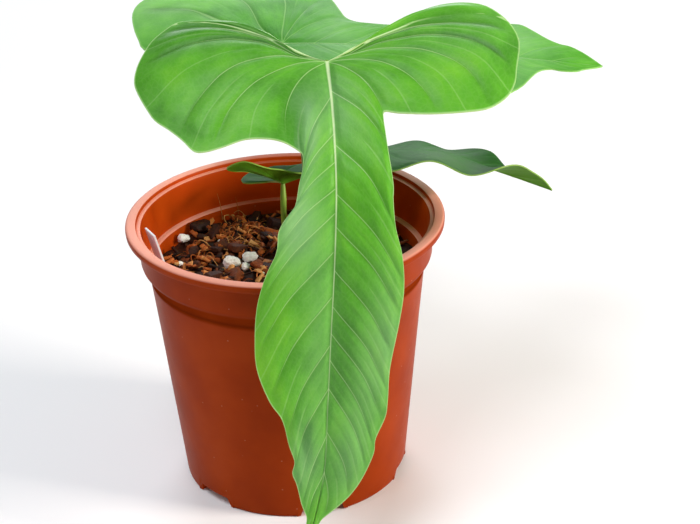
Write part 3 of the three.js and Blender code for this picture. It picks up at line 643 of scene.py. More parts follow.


# Fresh leaf tissue: a waxy skin over green flesh, so a soft broad sheen over a saturated colour, with
# paler veins
# deep is the colour of the painted shade beside the veins
def leafSkin(
    name, shade, body, young, vein,
    network=0.06, roughness=0.4, gloss=0.25, grooveShadeStrength=0.5, deep="#2f6a16", rib="#d2ecb2",
):
    material, tree = newMaterial(name)
    veinPlace, flatPlace, skinPlace, streakPlace = [
        addNode(tree, "Attribute", {"attribute_name": key}).outputs["Vector"]
        for key in ("veinPlace", "flatPlace", "skinPlace", "streakPlace")
    ]
    veins, flat, skin = [addNode(tree, "SeparateXYZ", {0: p}) for p in (veinPlace, flatPlace, skinPlace)]
    # broad drift of colour over the blade, about 20 mm across, on top of the spots of painted light and shade
    drift = addNode(tree, "TexNoise", {"Scale": 0.05, "Detail": 3.0, "Vector": flatPlace})
    lightAndDrift = addNode(tree, "Math", {"operation": "MULTIPLY_ADD", 0: skin.outputs[0], 1: 0.5, 2: drift})
    # fine streaks that run with the veins, 1 to 2 mm wide and about 8 mm long
    streak = addNode(tree, "TexNoise", {"Scale": 1.0, "Detail": 3.0, "Vector": streakPlace})
    streaked = addNode(tree, "Math", {"operation": "MULTIPLY_ADD", 0: streak, 1: 0.36, 2: -0.18})
    mottled = addNode(tree, "Math", {"operation": "ADD", 0: lightAndDrift, 1: streaked})
    # the top stop is the colour of painted light, and spots below 0 paint shade towards the shade stop
    colour = addNode(tree, "ValToRGB", {0: mottled, "stops": [(0.2, shade), (0.5, body), (0.95, young)]})
    # painted shade beside the sunken veins, in the deep colour, and a waxy bloom with painted sheen, a thin
    # bluish film
    grooveShade = addNode(tree, "Math", {"operation": "MULTIPLY", 0: skin.outputs[2], 1: grooveShadeStrength})
    bloomAndSheen = addNode(tree, "Math", {"operation": "MULTIPLY", "use_clamp": True, 0: skin.outputs[1], 1: 0.55})
    # a8cda4 is the waxy bloom with painted sheen
    films = [(grooveShade, deep), (bloomAndSheen, "#a8cda4")]
    # cells between the finest veins, about 2 mm across
    cells = addNode(tree, "TexVoronoi", {"feature": "DISTANCE_TO_EDGE", "Scale": 0.42, "Vector": flatPlace})
    # the midrib is palest at the joint and thins out towards the tip
    paling = addNode(tree, "MapRange", {
        0: flat.outputs[1], "From Min": 40.0, "From Max": 140.0, "To Min": 0.9, "To Max": 0.4,
    })
    # net, forks, side veins, midrib and margin as (source, strongest at, ends at, strength, colour)
    for source, near, far, strength, shown in (
        (cells, 0.0, 0.16, network, vein),
        (veins.outputs[1], 0.5, 1.8, 0.13, vein),
        (veins.outputs[0], 0.2, 1.0, 0.5, vein),
        (veins.outputs[2], 0.5, 1.2, paling, rib),
        (flat.outputs[2], 0.15, 0.7, 0.6, vein),
    ):
        mask = addNode(tree, "MapRange", {
            0: source, "From Min": near, "From Max": far, "To Min": strength, "To Max": 0.0,
        })
        films.append((mask, shown))
    for mask, shown in films:
        colour = addNode(tree, "Mix", {"data_type": "RGBA", 0: mask, 6: colour, 7: shown}).outputs[2]
    # skin cells, drawn 0.5 mm across so that they show
    grain = addNode(tree, "TexNoise", {"Scale": 2.0, "Detail": 3.0, "Vector": flatPlace})
    ripples = addNode(tree, "Bump", {"Strength": 0.35, "Distance": 0.0004, "Height": streak})
    bump = addNode(tree, "Bump", {"Strength": 0.12, "Distance": 0.0003, "Height": grain, "Normal": ripples})
    shader = addNode(tree, "BsdfPrincipled", {
        "Base Color": colour, "Normal": bump,
        "Roughness": roughness, "IOR": 1.42, "Specular IOR Level": gloss,
        "Subsurface Weight": 0.08, "Subsurface Scale": 0.0008, "Subsurface Radius": (0.5, 1.0, 0.2),
    })
    addNode(tree, "OutputMaterial", {"Surface": shader})
    return material


# Leaf stalk: smooth, waxy and round, paler towards the foot, so a narrow light streak down its length
def stalkSkin(name, low, high):
    material, tree = newMaterial(name)
    place = addNode(tree, "TexCoord", {}).outputs["Object"]
    height = addNode(tree, "SeparateXYZ", {0: place})
    rise = addNode(tree, "MapRange", {0: height.outputs[2], "From Min": 0.085, "From Max": 0.14})
    ground = addNode(tree, "Mix", {"data_type": "RGBA", 0: rise, 6: low, 7: high})
    freckles = addNode(tree, "TexNoise", {"Scale": 900.0, "Detail": 2.0, "Vector": place})
    bump = addNode(tree, "Bump", {"Strength": 0.15, "Distance": 0.0002, "Height": freckles})
    shader = addNode(tree, "BsdfPrincipled", {
        "Roughness": 0.38, "IOR": 1.42, "Base Color": ground.outputs[2], "Normal": bump,
    })
    addNode(tree, "OutputMaterial", {"Surface": shader})
    return material


print("leaves")
stalk = stalkSkin("leafStalkSkin", "#92b444", "#7aa636")
makeLeaf(frontLeaf, "frontLeaf", "leaf_front", [
    leafSkin(
        "frontLeafUpperSkin", "#438c1c", "#5aa829", "#74bf2a", "#c2e79e", 0.035, grooveShadeStrength=0.6, deep="#2a6412"
    ),
    leafSkin("frontLeafUnderside", "#579437", "#6aa843", "#7fba4f", "#b0d68a", 0.12, 0.6),
    leafSkin("frontLeafMargin", "#a3cb70", "#aed07a", "#b8d884", "#c4dd8a", 0.0),
    stalk,
])
makeLeaf(backLeaf, "backLeaf", "leaf_back", [
    leafSkin("backLeafUpperSkin", "#3a851c", "#4c9a26", "#6abc30", "#90c66a", 0.06, 0.42, 0.08),
    leafSkin("backLeafUnderside", "#579437", "#6aa843", "#7fba4f", "#b0d68a", 0.12, 0.6),
    leafSkin("backLeafMargin", "#6fb044", "#78b84c", "#82c056", "#90c66a", 0.0),
    stalk,
])
makeLeaf(lowLeaf, "lowLeaf", "leaf_low", [
    leafSkin("lowLeafUpperSkin", "#1f4c1a", "#265820", "#326c26", "#4c8042", 0.04, 0.5, 0.06, rib="#4c8042"),
    leafSkin("lowLeafUnderside", "#4a8409", "#60991a", "#70ac22", "#6f9a34", 0.06, 0.55, rib="#6f9a34"),
    leafSkin("lowLeafMargin", "#6f9a38", "#789f3c", "#80a842", "#8ab04c", 0.0),
    stalk,
])


# Pot: radii and heights in millimetres
pot = {
    "height": 107,
    "rim": 60,
    "foot": 43.8,
    "neck": 52.2,
    "collar": 55.2,
    "wall": 1.3,
    "floor": 2,
    "neckHeight": 86.6,  # where the sloping wall ends
    "ledge": 90,
    "lipDepth": 3.1,
    "lipBand": 4,
    "sides": 144,
    # foot notches and the pockets over them: first is in degrees, reach and inset are from the foot's edge
    "notch": {
        "count": 6, "first": -138, "half": 9, "taper": 1.6, "height": 4, "inner": 34.6, "reach": 4,
        "roof": 1.4, "inset": 0.9, "lift": 0.4,
    },
    "drain": {"width": 8, "depth": 3.2, "height": 4, "radius": 39, "lift": 1},
}


def innerWall(z):
    return pot["foot"] - pot["wall"] + (pot["neck"] - pot["foot"]) / pot["neckHeight"] * z


def spun(bm, profile, sides):
    verts = [bm.verts.new((r * mm, 0, z * mm)) for r, z in profile]
    edges = [bm.edges.new(pair) for pair in zip(verts, verts[1:])]
    bmesh.ops.spin(
        bm, geom=verts + edges, cent=(0, 0, 0), axis=(0, 0, 1), angle=2 * pi, steps=sides, use_merge=True
    )
    bmesh.ops.remove_doubles(bm, verts=bm.verts, dist=weld * mm)
    bmesh.ops.recalc_face_normals(bm, faces=bm.faces)


def notchWedge(bm, grow, height, inner, outer, angle):
    notch = pot["notch"]
    low = notch["half"] + grow
    high = low - notch["taper"]
    outline = ((-low, -1), (low, -1), (high, height), (-high, height))
    corners = [bm.verts.new((x, -inner, z)) for x, z in outline]
    pushed = bmesh.ops.extrude_face_region(bm, geom=[bm.faces.new(corners)])["geom"]
    far = [g for g in pushed if isinstance(g, bmesh.types.BMVert)]
    bmesh.ops.translate(bm, verts=far, vec=(0, inner - outer, 0))
    turn = Matrix.Rotation(radians(angle + 90), 4, "Z") @ Matrix.Scale(mm, 4)
    bmesh.ops.transform(bm, verts=corners + far, matrix=turn)


def cutWith(piece, makeCutter, operation):
    cutter = bmesh.new()
    makeCutter(cutter)
    bmesh.ops.recalc_face_normals(cutter, faces=cutter.faces)
    tool = meshObject(cutter, "cutter")
    change = piece.modifiers.new("cut", "BOOLEAN")
    change.object = tool
    change.operation = operation
    change.solver = "EXACT"
    bpy.context.view_layer.update()
    piece.data = bpy.data.meshes.new_from_object(piece.evaluated_get(bpy.context.evaluated_depsgraph_get()))
    piece.modifiers.clear()
    bpy.data.objects.remove(tool)


def notchAngles():
    notch = pot["notch"]
    return [notch["first"] + k * 360 / notch["count"] for k in range(notch["count"])]


def makePot():
    top, under = pot["height"], pot["height"] - pot["lipDepth"]
    rim, foot, collar, neck, wall = [pot[key] for key in ("rim", "foot", "collar", "neck", "wall")]
    inner, ledge, floor = rim - pot["lipBand"], pot["ledge"], pot["floor"]
    bottom = innerWall(floor + 1.2)
    # (radius, height) from the middle of the underside up the outer face, over the lip and down inside
    profile = [
        (0, 0), (foot - 1, 0), (foot - 0.5, 0.15), (foot - 0.1, 0.55), (foot, 1.1), (foot + 0.6, 7.2),
        (foot + 1.05, 12), (foot + 3.4, 36), (neck - 2.1, 66), (neck, 86.3), (neck + 0.15, 87),
        (neck + 0.7, 88), (collar - 0.8, 91.2), (collar - 0.25, 91.9), (collar, 92.8),
        (collar, under - 0.9), (collar + 0.2, under - 0.35), (collar + 0.7, under), (rim - 0.9, under),
        (rim - 0.4, under + 0.15), (rim - 0.1, under + 0.6), (rim, top - 1), (rim - 0.15, top - 0.45),
        (rim - 0.55, top - 0.08), (rim - 1, top), (inner + 0.6, top), (inner + 0.2, top - 0.15),
        (inner, top - 0.5), (inner - 0.15, top - 1.4), (inner - 0.5, top - 1.75), (inner - 1.1, top - 1.7),
        (inner - 1.5, top - 1.85), (inner - 1.8, top - 2.5), (collar - wall - 0.4, 92.6),
        (collar - wall - 0.6, 91.4), (collar - wall - 0.75, ledge + 0.3), (collar - wall - 1.1, ledge),
        (neck - wall + 0.4, ledge - 0.1), (neck - wall + 0.1, ledge - 0.3), (neck - wall, ledge - 0.8),
        (innerWall(66), 66), (bottom, floor + 1.2), (bottom - 1, floor + 0.2), (bottom - 2.2, floor),
        (0, floor),
    ]
    bm = bmesh.new()
    spun(bm, profile, pot["sides"])
    piece = meshObject(bm, "nurseryPot")
    notch, drain = pot["notch"], pot["drain"]

    def pockets(cutter):
        roof, inner = notch["height"] + notch["roof"], notch["inner"] - notch["roof"]
        for angle in notchAngles():
            part = bmesh.new()
            notchWedge(part, notch["roof"], roof, inner, foot - notch["inset"], angle)
            bmesh.ops.bisect_plane(
                part, geom=part.verts[:] + part.edges[:] + part.faces[:], plane_co=(0, 0, notch["lift"] * mm),
                plane_no=(0, 0, -1), clear_outer=True,
            )
            bmesh.ops.holes_fill(part, edges=part.edges)
            pourInto(cutter, part)

    def notches(cutter):
        for angle in notchAngles():
            notchWedge(cutter, 0, notch["height"], notch["inner"], foot + notch["reach"], angle)

    def drains(cutter):
        for angle in notchAngles():
            size = Matrix.Diagonal((drain["depth"] * mm, drain["width"] * mm, drain["height"] * mm, 1))
            shift = Matrix.Translation((drain["radius"] * mm, 0, (notch["height"] + drain["lift"]) * mm))
            turn = Matrix.Rotation(radians(angle), 4, "Z")
            bmesh.ops.create_cube(cutter, size=1, matrix=turn @ shift @ size)

    cutWith(piece, pockets, "UNION")
    cutWith(piece, notches, "DIFFERENCE")
    cutWith(piece, drains, "DIFFERENCE")
    bm = bmesh.new()
    bm.from_mesh(piece.data)
    bmesh.ops.remove_doubles(bm, verts=bm.verts, dist=weld * mm)
    bpy.data.objects.remove(piece)
    finishPiece(bm, "nurseryPot", [pottedPlastic()], ["pot"], sharp=35)


# Polypropylene, injection moulded, terracotta coloured: a satin skin with broad soft reflections,
# faintly mottled
def pottedPlastic():
    material, tree = newMaterial("mouldedTerracottaPolypropylene")
    spot = addNode(tree, "TexCoord", {}).outputs
    place, normal = spot["Object"], spot["Normal"]
    # flow of the pigment, about 20 mm across, in two copies of one plastic: a brighter one on the inner face,
    # painted light glowing through the thin wall, and a darker one outside
    flow = addNode(tree, "TexNoise", {"Scale": 50.0, "Detail": 3.0, "Vector": place})
    inner, outer = [
        addNode(tree, "ValToRGB", {0: flow, "stops": list(zip((0.3, 0.5, 0.7), codes))})
        for codes in (("#b83e09", "#c0440b", "#c84b0e"), ("#8a2f0a", "#93340b", "#9c3a0e"))
    ]
    outward = addNode(tree, "VectorMath", {"operation": "MULTIPLY", 0: place, 1: (1, 1, 0)})
    turned = addNode(tree, "VectorMath", {"operation": "DOT_PRODUCT", 0: outward, 1: normal})
    side = addNode(tree, "MapRange", {0: turned.outputs["Value"], "From Min": -0.012, "From Max": 0.012})
    ground = addNode(tree, "Mix", {"data_type": "RGBA", 0: side, 6: inner, 7: outer})
    # fine pale dust and scuffs lie on the lip and the ledge, the faces that look up, together with a painted
    # highlight of the light from above
    facing = addNode(tree, "SeparateXYZ", {0: normal})
    level = addNode(tree, "MapRange", {
        0: facing.outputs[2], "From Min": 0.35, "From Max": 0.9, "To Max": 0.9,
    })
    # less of it at the back: painted shadow of the leaves above
    around = addNode(tree, "VectorMath", {"operation": "NORMALIZE", 0: outward})
    bearing = addNode(tree, "SeparateXYZ", {0: around})
    leafShadowAtBack = addNode(tree, "MapRange", {
        0: bearing.outputs[1], "From Min": 0.86, "From Max": 0.975, "To Min": 1.0, "To Max": 0.3,
    })
    dustAndTopHighlight = addNode(tree, "Math", {"operation": "MULTIPLY", 0: level, 1: leafShadowAtBack})
    # painted shade in the outer corner under the collar, darkest there and thinning out 6 mm up the slope
    height = addNode(tree, "SeparateXYZ", {0: place})
    corner = addNode(tree, "MapRange", {0: height.outputs[2], "From Min": 0.0845, "From Max": 0.0945})
    collarShadeRamp = addNode(tree, "ValToRGB", {
        0: corner,
        "stops": [
            (0.0, "#000000"), (0.2, "#e6e6e6"), (0.36, "#b4b4b4"), (0.62, "#a8a8a8"), (0.85, "#000000"),
        ],
    })
    paintedCollarShade = addNode(tree, "Math", {"operation": "MULTIPLY", 0: collarShadeRamp, 1: side})
    # pale dust specks, drawn 0.5 mm wide so that they show
    dust = addNode(tree, "TexVoronoi", {"Scale": 180.0, "Randomness": 1.0, "Vector": place})
    speck = addNode(tree, "MapRange", {
        0: dust, "From Min": 0.03, "From Max": 0.07, "To Min": 0.2, "To Max": 0.0,
    })
    # all three lie over the pigment: dust with painted highlight, painted shade under the collar, and pale
    # specks
    colour = ground.outputs[2]
    for mask, shown in ((dustAndTopHighlight, "#f4a792"), (paintedCollarShade, "#5a1d06"), (speck, "#d9b8a4")):
        colour = addNode(tree, "Mix", {"data_type": "RGBA", 0: mask, 6: colour, 7: shown}).outputs[2]
    # the skin, worn unevenly, with no sheen in the painted shade under the collar
    wear = addNode(tree, "TexNoise", {"Scale": 220.0, "Detail": 4.0, "Vector": place})
    gloss = addNode(tree, "MapRange", {0: wear, "To Min": 0.3, "To Max": 0.45})
    bump = addNode(tree, "Bump", {"Strength": 0.08, "Distance": 0.0004, "Height": wear})
    sheen = addNode(tree, "MapRange", {0: paintedCollarShade, "From Max": 0.4, "To Min": 0.03, "To Max": 0.0})
    shader = addNode(tree, "BsdfPrincipled", {
        "Base Color": colour, "Normal": bump, "Roughness": gloss, "IOR": 1.49, "Specular IOR Level": sheen,
    })
    addNode(tree, "OutputMaterial", {"Surface": shader})
    return material


print("pot")
makePot()


# Potting mix
mix = {
    "height": 85.2,
    "foot": 7,
    "gap": 0.45,  # between the mix and the pot's wall
    "rings": 46,
    "sides": 120,
    # sizes are ranges of length, width and thickness; the turns are in degrees, for small chips in radians
    "bigChips": 60,
    "bigSizes": ((6, 12), (3, 6), (1.6, 3)),
    "bigTurns": ((-32, 32), (-26, 26), (0, 180)),
    "bigTones": [0.15, 0.3, 0.45, 0.6],
    "smallChips": 820,
    "smallSizes": ((1.6, 5.5), (0.8, 2.4), (0.5, 1.4)),
    "smallTurns": ((-0.7, 0.7), (-0.5, 0.5), (0, pi)),
    "smallLift": (0.2, 2.6),
    "fibres": 110,
    "fibreRadius": (0.1, 0.27),
    # tangles of husk fibre as (x, y, reach, count), and single strands that stand up
    "tangles": [(-19, 30, 9, 130), (-15, 16, 7, 40), (-33, 14, 6, 18), (14, 34, 9, 40)],
    "strands": [
        [(-25.4, 43, 86), (-25.8, 44.2, 91), (-26.9, 44.8, 96.8)],
        [(-18.8, 46.4, 86), (-19.2, 47.4, 90), (-19.7, 48, 93.4)],
        [(-33, 5, 87), (-29.5, 2, 90), (-26.4, -3, 88)],
    ],
    # single lumps as (place, size, turns in degrees, tone)
    "lumps": [
        ((-34, 33.2, 88.2), (8, 4, 3.4), (8, 5, 43), 0.1),
        ((-28.5, 28, 87.6), (7, 3.4, 3), (-22, 16, 60), 0.15),
        ((-19, 13, 87.4), (7.5, 5, 3.2), (16, -18, 30), 0.28),
        ((-9.5, -4.6, 87), (9, 5, 2.2), (-14, 14, 140), 0.5),
        ((-3, 33, 87.4), (8, 5, 3.6), (20, 6, 15), 0.04),
        ((-8, 22, 87.2), (7, 4.4, 3.4), (12, 22, 110), 0.06),
        ((-36, 13, 87.2), (5.5, 3.4, 2.6), (24, -16, 80), 0.14),
        ((-28, -9, 86.8), (7, 4, 2.6), (16, 8, 50), 0.2),
        ((-12, 40, 87.2), (7, 4, 3), (-12, 8, 75), 0.05),
        ((-27, 13, 87), (6, 4, 2.6), (12, 18, 130), 0.12),
    ],
    "grains": [
        (-40.5, 25, 87, 2.2), (-21.3, 1.5, 87.2, 3.1), (-14.2, 4.6, 87.2, 2.7), (-15.9, -2.6, 87, 1.7),
        (31, -14, 87, 2.6), (24, 22, 87, 2.1),
    ],
    "crumbs": [(-40.8, 3.4, 86.6, 1.1), (-26, 21, 87, 0.8), (-9, -8, 86.6, 0.7)],
    # places left free of chips for the stalks, stem and label, as (x, y, radius)
    "clear": [
        (12, -5.5, 3.6), (7, 8.5, 3.6), (-0.5, 5.5, 2.4), (-42, -7, 2.5), (-46, 0, 2.5), (7.5, 0.5, 5.5),
    ],
}
draw = {"seed": seed, "factor": 16807, "modulus": 2147483647}


def drawn(low=0.0, high=1.0):  # the same numbers as for the solids' chips
    draw["seed"] = draw["seed"] * draw["factor"] % draw["modulus"]
    return low + (high - low) * draw["seed"] / draw["modulus"]


def mixHeight(x, y):
    broad = 0.7 * sin(x / 11 + 1.3) * cos(y / 13 - 0.6)
    lumps = 0.55 * sin(x / 3.7 + y / 6.1) + 0.45 * cos(y / 3.1 - x / 5.3)
    return mix["height"] + broad + lumps


def bevel(bm, edges, width, steps):
    bmesh.ops.bevel(bm, geom=edges, offset=width, segments=steps, profile=0.5, affect="EDGES", material=-1)


def addChip(bm, size, tilt, place, tone, roughness):
    chip = bmesh.new()
    layer = chip.verts.layers.float.new("tone")
    bmesh.ops.create_cube(chip, size=1)
    bmesh.ops.scale(chip, vec=Vector(size) * mm, verts=chip.verts)
    bevel(chip, chip.edges[:], min(size) * 0.2 * mm, 1)
    for vert in chip.verts:
        vert.co += noise.noise_vector(vert.co / mm * 0.6 + Vector(place)) * roughness * mm
        vert[layer] = tone + rng.uniform(-0.06, 0.06)
    matrix = Matrix.Translation(Vector(place) * mm)
    for axis, angle in (("Z", tilt[2]), ("Y", tilt[0]), ("X", tilt[1])):
        matrix @= Matrix.Rotation(angle, 4, axis)
    bmesh.ops.transform(chip, matrix=matrix, verts=chip.verts)
    pourInto(bm, chip)


def makeMix():
    edge, low = innerWall(mix["height"]) - mix["gap"], innerWall(pot["floor"]) - mix["gap"]
    bm = bmesh.new()
    tones = bm.verts.layers.float.new("tone")
    steps = [edge * (1 - k / mix["rings"]) for k in range(mix["rings"])]
    profile = [(0, mix["foot"]), (low, mix["foot"])] + [(r, mix["height"]) for r in steps + [0]]
    spun(bm, profile, mix["sides"])
    # the top swells and crumbles, but doesn't rise at the wall
    for vert in bm.verts:
        x, y, z = vert.co / mm
        vert[tones] = 0.12
        if z > mix["height"] - 1:
            rise = mixHeight(x, y) - mix["height"]
            if Vector((x, y)).length > 0.97 * edge:
                rise = min(rise, 0)
            crumble = 0.8 * noise.noise(Vector((x, y, 0)) / 2.2) + 0.5 * noise.noise(Vector((x, y, 5)) / 0.9)
            vert.co.z += (rise + min(crumble, 0.5) - 0.3) * mm
            vert[tones] = 0.14 + 0.2 * noise.noise(Vector((x, y, 9)) / 3)
    # the big chips lie where the solids' do
    clear = mix["clear"] + [(x, y, r - 0.6) for x, y, z, r in mix["grains"]]
    placed = 0
    while placed < mix["bigChips"]:
        length = drawn(*mix["bigSizes"][0])
        reach = length / 2
        radius = (innerWall(mix["height"]) - 2 - reach) * drawn() ** 0.5
        angle = drawn(0, 2 * pi)
        x, y = radius * cos(angle), radius * sin(angle)
        tilt = [radians(drawn(*turns)) for turns in mix["bigTurns"]]
        size = [length] + [drawn(*sizes) for sizes in mix["bigSizes"][1:]]
        if any(Vector((x - cx, y - cy)).length < r + reach for cx, cy, r in clear):
            continue
        addChip(bm, size, tilt, (x, y, mixHeight(x, y) + 0.4), rng.choice(mix["bigTones"]), 0.5)
        placed += 1
    # small ones fill in between them
    for k in range(mix["smallChips"]):
        length = rng.uniform(*mix["smallSizes"][0])
        radius = (edge - 0.6 - length / 2) * rng.uniform() ** 0.5
        angle = rng.uniform(0, 2 * pi)
        x, y = radius * cos(angle), radius * sin(angle)
        if any(Vector((x - cx, y - cy)).length < r * 0.8 + length / 2 for cx, cy, r in clear):
            continue
        size = [length] + [rng.uniform(*sizes) for sizes in mix["smallSizes"][1:]]
        tilt = [rng.uniform(*turns) for turns in mix["smallTurns"]]
        lift = rng.uniform(*mix["smallLift"])
        addChip(bm, size, tilt, (x, y, mixHeight(x, y) + lift), rng.uniform(0, 1) ** 1.1, 0.35)
    for place, size, turns, tone in mix["lumps"]:
        addChip(bm, size, [radians(turn) for turn in turns], place, tone, 1.1)
    # fibres lie about as short curved rods, many of them in tangles
    starts = [((edge - 6) * rng.uniform() ** 0.5, rng.uniform(0, 2 * pi)) for k in range(mix["fibres"])]
    starts = [(r * cos(a), r * sin(a), 1.0) for r, a in starts]
    for x, y, reach, count in mix["tangles"]:
        starts += [(x + rng.normal(0, reach / 2), y + rng.normal(0, reach / 2), 1.7) for k in range(count)]
    lines = list(mix["strands"])
    for x, y, grow in starts:
        turn, turning = rng.uniform(0, 2 * pi), rng.uniform(-1.6, 1.6)
        reach, lift = rng.uniform(2.5, 6) * grow**0.5, rng.uniform(0.4, 2) * grow
        line = []
        for t in (0, 0.35, 0.7, 1):
            heading = turn + turning * t
            px, py = x + reach * (t - 0.5) * cos(heading), y + reach * (t - 0.5) * sin(heading)
            line.append((px, py, mixHeight(px, py) + 0.4 + lift * sin(pi * (0.15 + 0.85 * t))))
        if max(Vector(p[:2]).length for p in line) < edge - 1:
            lines.append(line)
    for line in lines:
        fibre = bmesh.new()
        layer = fibre.verts.layers.float.new("tone")
        thick, tone = rng.uniform(*mix["fibreRadius"]), rng.uniform(0.5, 1)
        bentRod(fibre, line, [thick, thick, thick * 0.5], 5, 7)
        for vert in fibre.verts:
            vert[layer] = tone
        pourInto(bm, fibre)
    finishPiece(bm, "barkMix", [barkMatter()], ["potting_mix"], sharp=50)


# Composted bark and coconut husk, damp: dark brown chips with a dull sheen, the husk fibres orange-brown
def barkMatter():
    material, tree = newMaterial("dampBarkAndHusk")
    place = addNode(tree, "TexCoord", {}).outputs["Object"]
    tone = addNode(tree, "Attribute", {"attribute_name": "tone"})
    # grain of the bark, about 1 mm
    grain = addNode(tree, "TexNoise", {"Scale": 900.0, "Detail": 4.0, "Vector": place})
    shift = addNode(tree, "Math", {"operation": "MULTIPLY_ADD", 0: grain, 1: 0.35, 2: -0.17})
    total = addNode(tree, "Math", {"operation": "ADD", 0: shift, 1: tone.outputs["Fac"]})
    colour = addNode(tree, "ValToRGB", {
        0: total,
        "stops": [(0.0, "#1c0c06"), (0.25, "#43200f"), (0.5, "#7d3c18"), (0.75, "#bf6326"), (1.0, "#d09a5c")],
    })
    bump = addNode(tree, "Bump", {"Strength": 0.6, "Distance": 0.0005, "Height": grain})
    shader = addNode(tree, "BsdfPrincipled", {
        "Roughness": 0.62, "IOR": 1.45, "Specular IOR Level": 0.25, "Base Color": colour, "Normal": bump,
    })
    addNode(tree, "OutputMaterial", {"Surface": shader})
    return material


print("potting mix")
makeMix()


# Expanded perlite: white glassy foam, matt and chalky with open pores
def perliteFoam():
    material, tree = newMaterial("expandedPerlite")
    place = addNode(tree, "TexCoord", {}).outputs["Object"]
    # pores, about 0.6 mm
    pores = addNode(tree, "TexVoronoi", {"Scale": 1600.0, "Vector": place})
    colour = addNode(tree, "ValToRGB", {
        0: pores, "stops": [(0.0, "#fdfdfa"), (0.6, "#f8f7f2"), (1.0, "#dcdad2")],
    })
    bump = addNode(tree, "Bump", {"Strength": 0.3, "Distance": 0.0003, "invert": True, "Height": pores})
    shader = addNode(tree, "BsdfPrincipled", {
        "Roughness": 0.85, "IOR": 1.5, "Base Color": colour, "Normal": bump,
    })
    addNode(tree, "OutputMaterial", {"Surface": shader})
    return material


def addGrain(bm, x, y, z, radius):
    made = bmesh.ops.create_icosphere(bm, subdivisions=4, radius=1)["verts"]
    for vert in made:
        point = vert.co.copy()
        lump = 0.1 * sin(4 * point.x + x) + 0.1 * cos(5 * point.y + y)
        pits = 0.14 * noise.noise(point * 2.6 + Vector((x, y, z)))
        pits += 0.05 * noise.noise(point * 7 + Vector((y, x, z)))
        point *= radius * (0.97 + lump + pits)
        vert.co = Vector((x + point.x, y + point.y, z + 0.8 * point.z)) * mm


def makePerlite():
    foam = perliteFoam()
    for k, (x, y, z, radius) in enumerate(mix["grains"]):
        bm = bmesh.new()
        addGrain(bm, x, y, z, radius)
        if k == 0:
            for crumb in mix["crumbs"]:
                addGrain(bm, *crumb)
        finishPiece(bm, f"perlite{k + 1}", [foam], [f"perlite_grain_{k + 1}"], sharp=60)


print("perlite")
makePerlite()


# Label
label = {
    "near": (-49.7, -7, 104.5),
    "far": (-53.5, 0.7, 104.5),
    "lean": 0.28,
    "length": 38,
    "thick": 0.8,
    "round": 0.8,
    "edge": 0.12,
}


def makeLabel():
    near, far = Vector(label["near"]), Vector(label["far"])
    sideways = (far - near).normalized()
    down = Vector((label["lean"], 0, -1)).normalized()
    facing = down.cross(sideways).normalized()
    along = sideways.cross(facing)
    middle = (near + far) / 2 + down * label["length"] / 2
    bm = bmesh.new()
    bmesh.ops.create_cube(bm, size=1)
    bmesh.ops.scale(bm, vec=((far - near).length, label["thick"], label["length"]), verts=bm.verts)
    corners = [e for e in bm.edges if abs(e.verts[0].co.y - e.verts[1].co.y) > 0.1 and e.verts[0].co.z > 0]
    bevel(bm, corners, label["round"], 5)
    bevel(bm, bm.edges[:], label["edge"], 2)
    turn = Matrix((sideways, facing, along)).transposed().to_4x4()
    bmesh.ops.transform(bm, matrix=Matrix.Scale(mm, 4) @ Matrix.Translation(middle) @ turn, verts=bm.verts)
    finishPiece(bm, "plantLabel", [labelPlastic()], ["plant_label"], sharp=40)


# Polystyrene sheet, die cut: white and smooth with a slight gloss and faint handling marks
def labelPlastic():
    material, tree = newMaterial("whitePolystyrene")
    place = addNode(tree, "TexCoord", {}).outputs["Object"]
    marks = addNode(tree, "TexNoise", {"Scale": 350.0, "Detail": 3.0, "Vector": place})
    colour = addNode(tree, "ValToRGB", {0: marks, "stops": [(0.3, "#d9dde6"), (0.7, "#eaecf2")]})
    gloss = addNode(tree, "MapRange", {0: marks, "To Min": 0.28, "To Max": 0.45})
    shader = addNode(tree, "BsdfPrincipled", {"IOR": 1.55, "Base Color": colour, "Roughness": gloss})
    addNode(tree, "OutputMaterial", {"Surface": shader})
    return material


print("label")
makeLabel()


# Stem
stem = {
    "x": 7.5,
    "y": 0.5,
    "radius": 4.5,
    "foot": 60,
    "top": 93,
    "sides": 32,
    "firstRing": 78.0,
    "ringStep": 2.6,
}


def makeStem():
    radius, top, z = stem["radius"], stem["top"], stem["firstRing"]
    profile = [(0, stem["foot"]), (radius - 0.8, stem["foot"]), (radius, stem["foot"] + 2)]
    while z < top - 3.4:
        profile += [(radius, z), (radius - 0.15, z + 1.6), (radius - 0.55, z + 2.0)]
        z += stem["ringStep"]
    profile += [(radius - 0.9, top - 1.6), (radius - 2.6, top - 0.4), (0, top)]
    bm = bmesh.new()
    spun(bm, profile, stem["sides"])
    for vert in bm.verts:
        vert.co += noise.noise_vector(vert.co / mm * 0.5) * 0.15 * mm
        vert.co.z = min(vert.co.z, top * mm)
    bmesh.ops.translate(bm, verts=bm.verts, vec=(stem["x"] * mm, stem["y"] * mm, 0))
    finishPiece(bm, "youngStem", [stemBark()], ["stem"], sharp=50)


# Young aroid stem: olive green with brown, papery rings where leaves stood
def stemBark():
    material, tree = newMaterial("youngStemBark")
    place = addNode(tree, "TexCoord", {}).outputs["Object"]
    # rings about 5 mm apart
    rings = addNode(tree, "TexWave", {
        "bands_direction": "Z", "Scale": 61.0, "Distortion": 3.0, "Detail": 3.0, "Vector": place,
    })
    colour = addNode(tree, "ValToRGB", {
        0: rings.outputs["Fac"], "stops": [(0.2, "#5b4a28"), (0.5, "#6d7038"), (0.9, "#7f8d48")],
    })
    bump = addNode(tree, "Bump", {"Strength": 0.4, "Distance": 0.0004, "Height": rings.outputs["Fac"]})
    shader = addNode(tree, "BsdfPrincipled", {
        "Roughness": 0.65, "IOR": 1.45, "Base Color": colour, "Normal": bump,
    })
    addNode(tree, "OutputMaterial", {"Surface": shader})
    return material


print("stem")
makeStem()


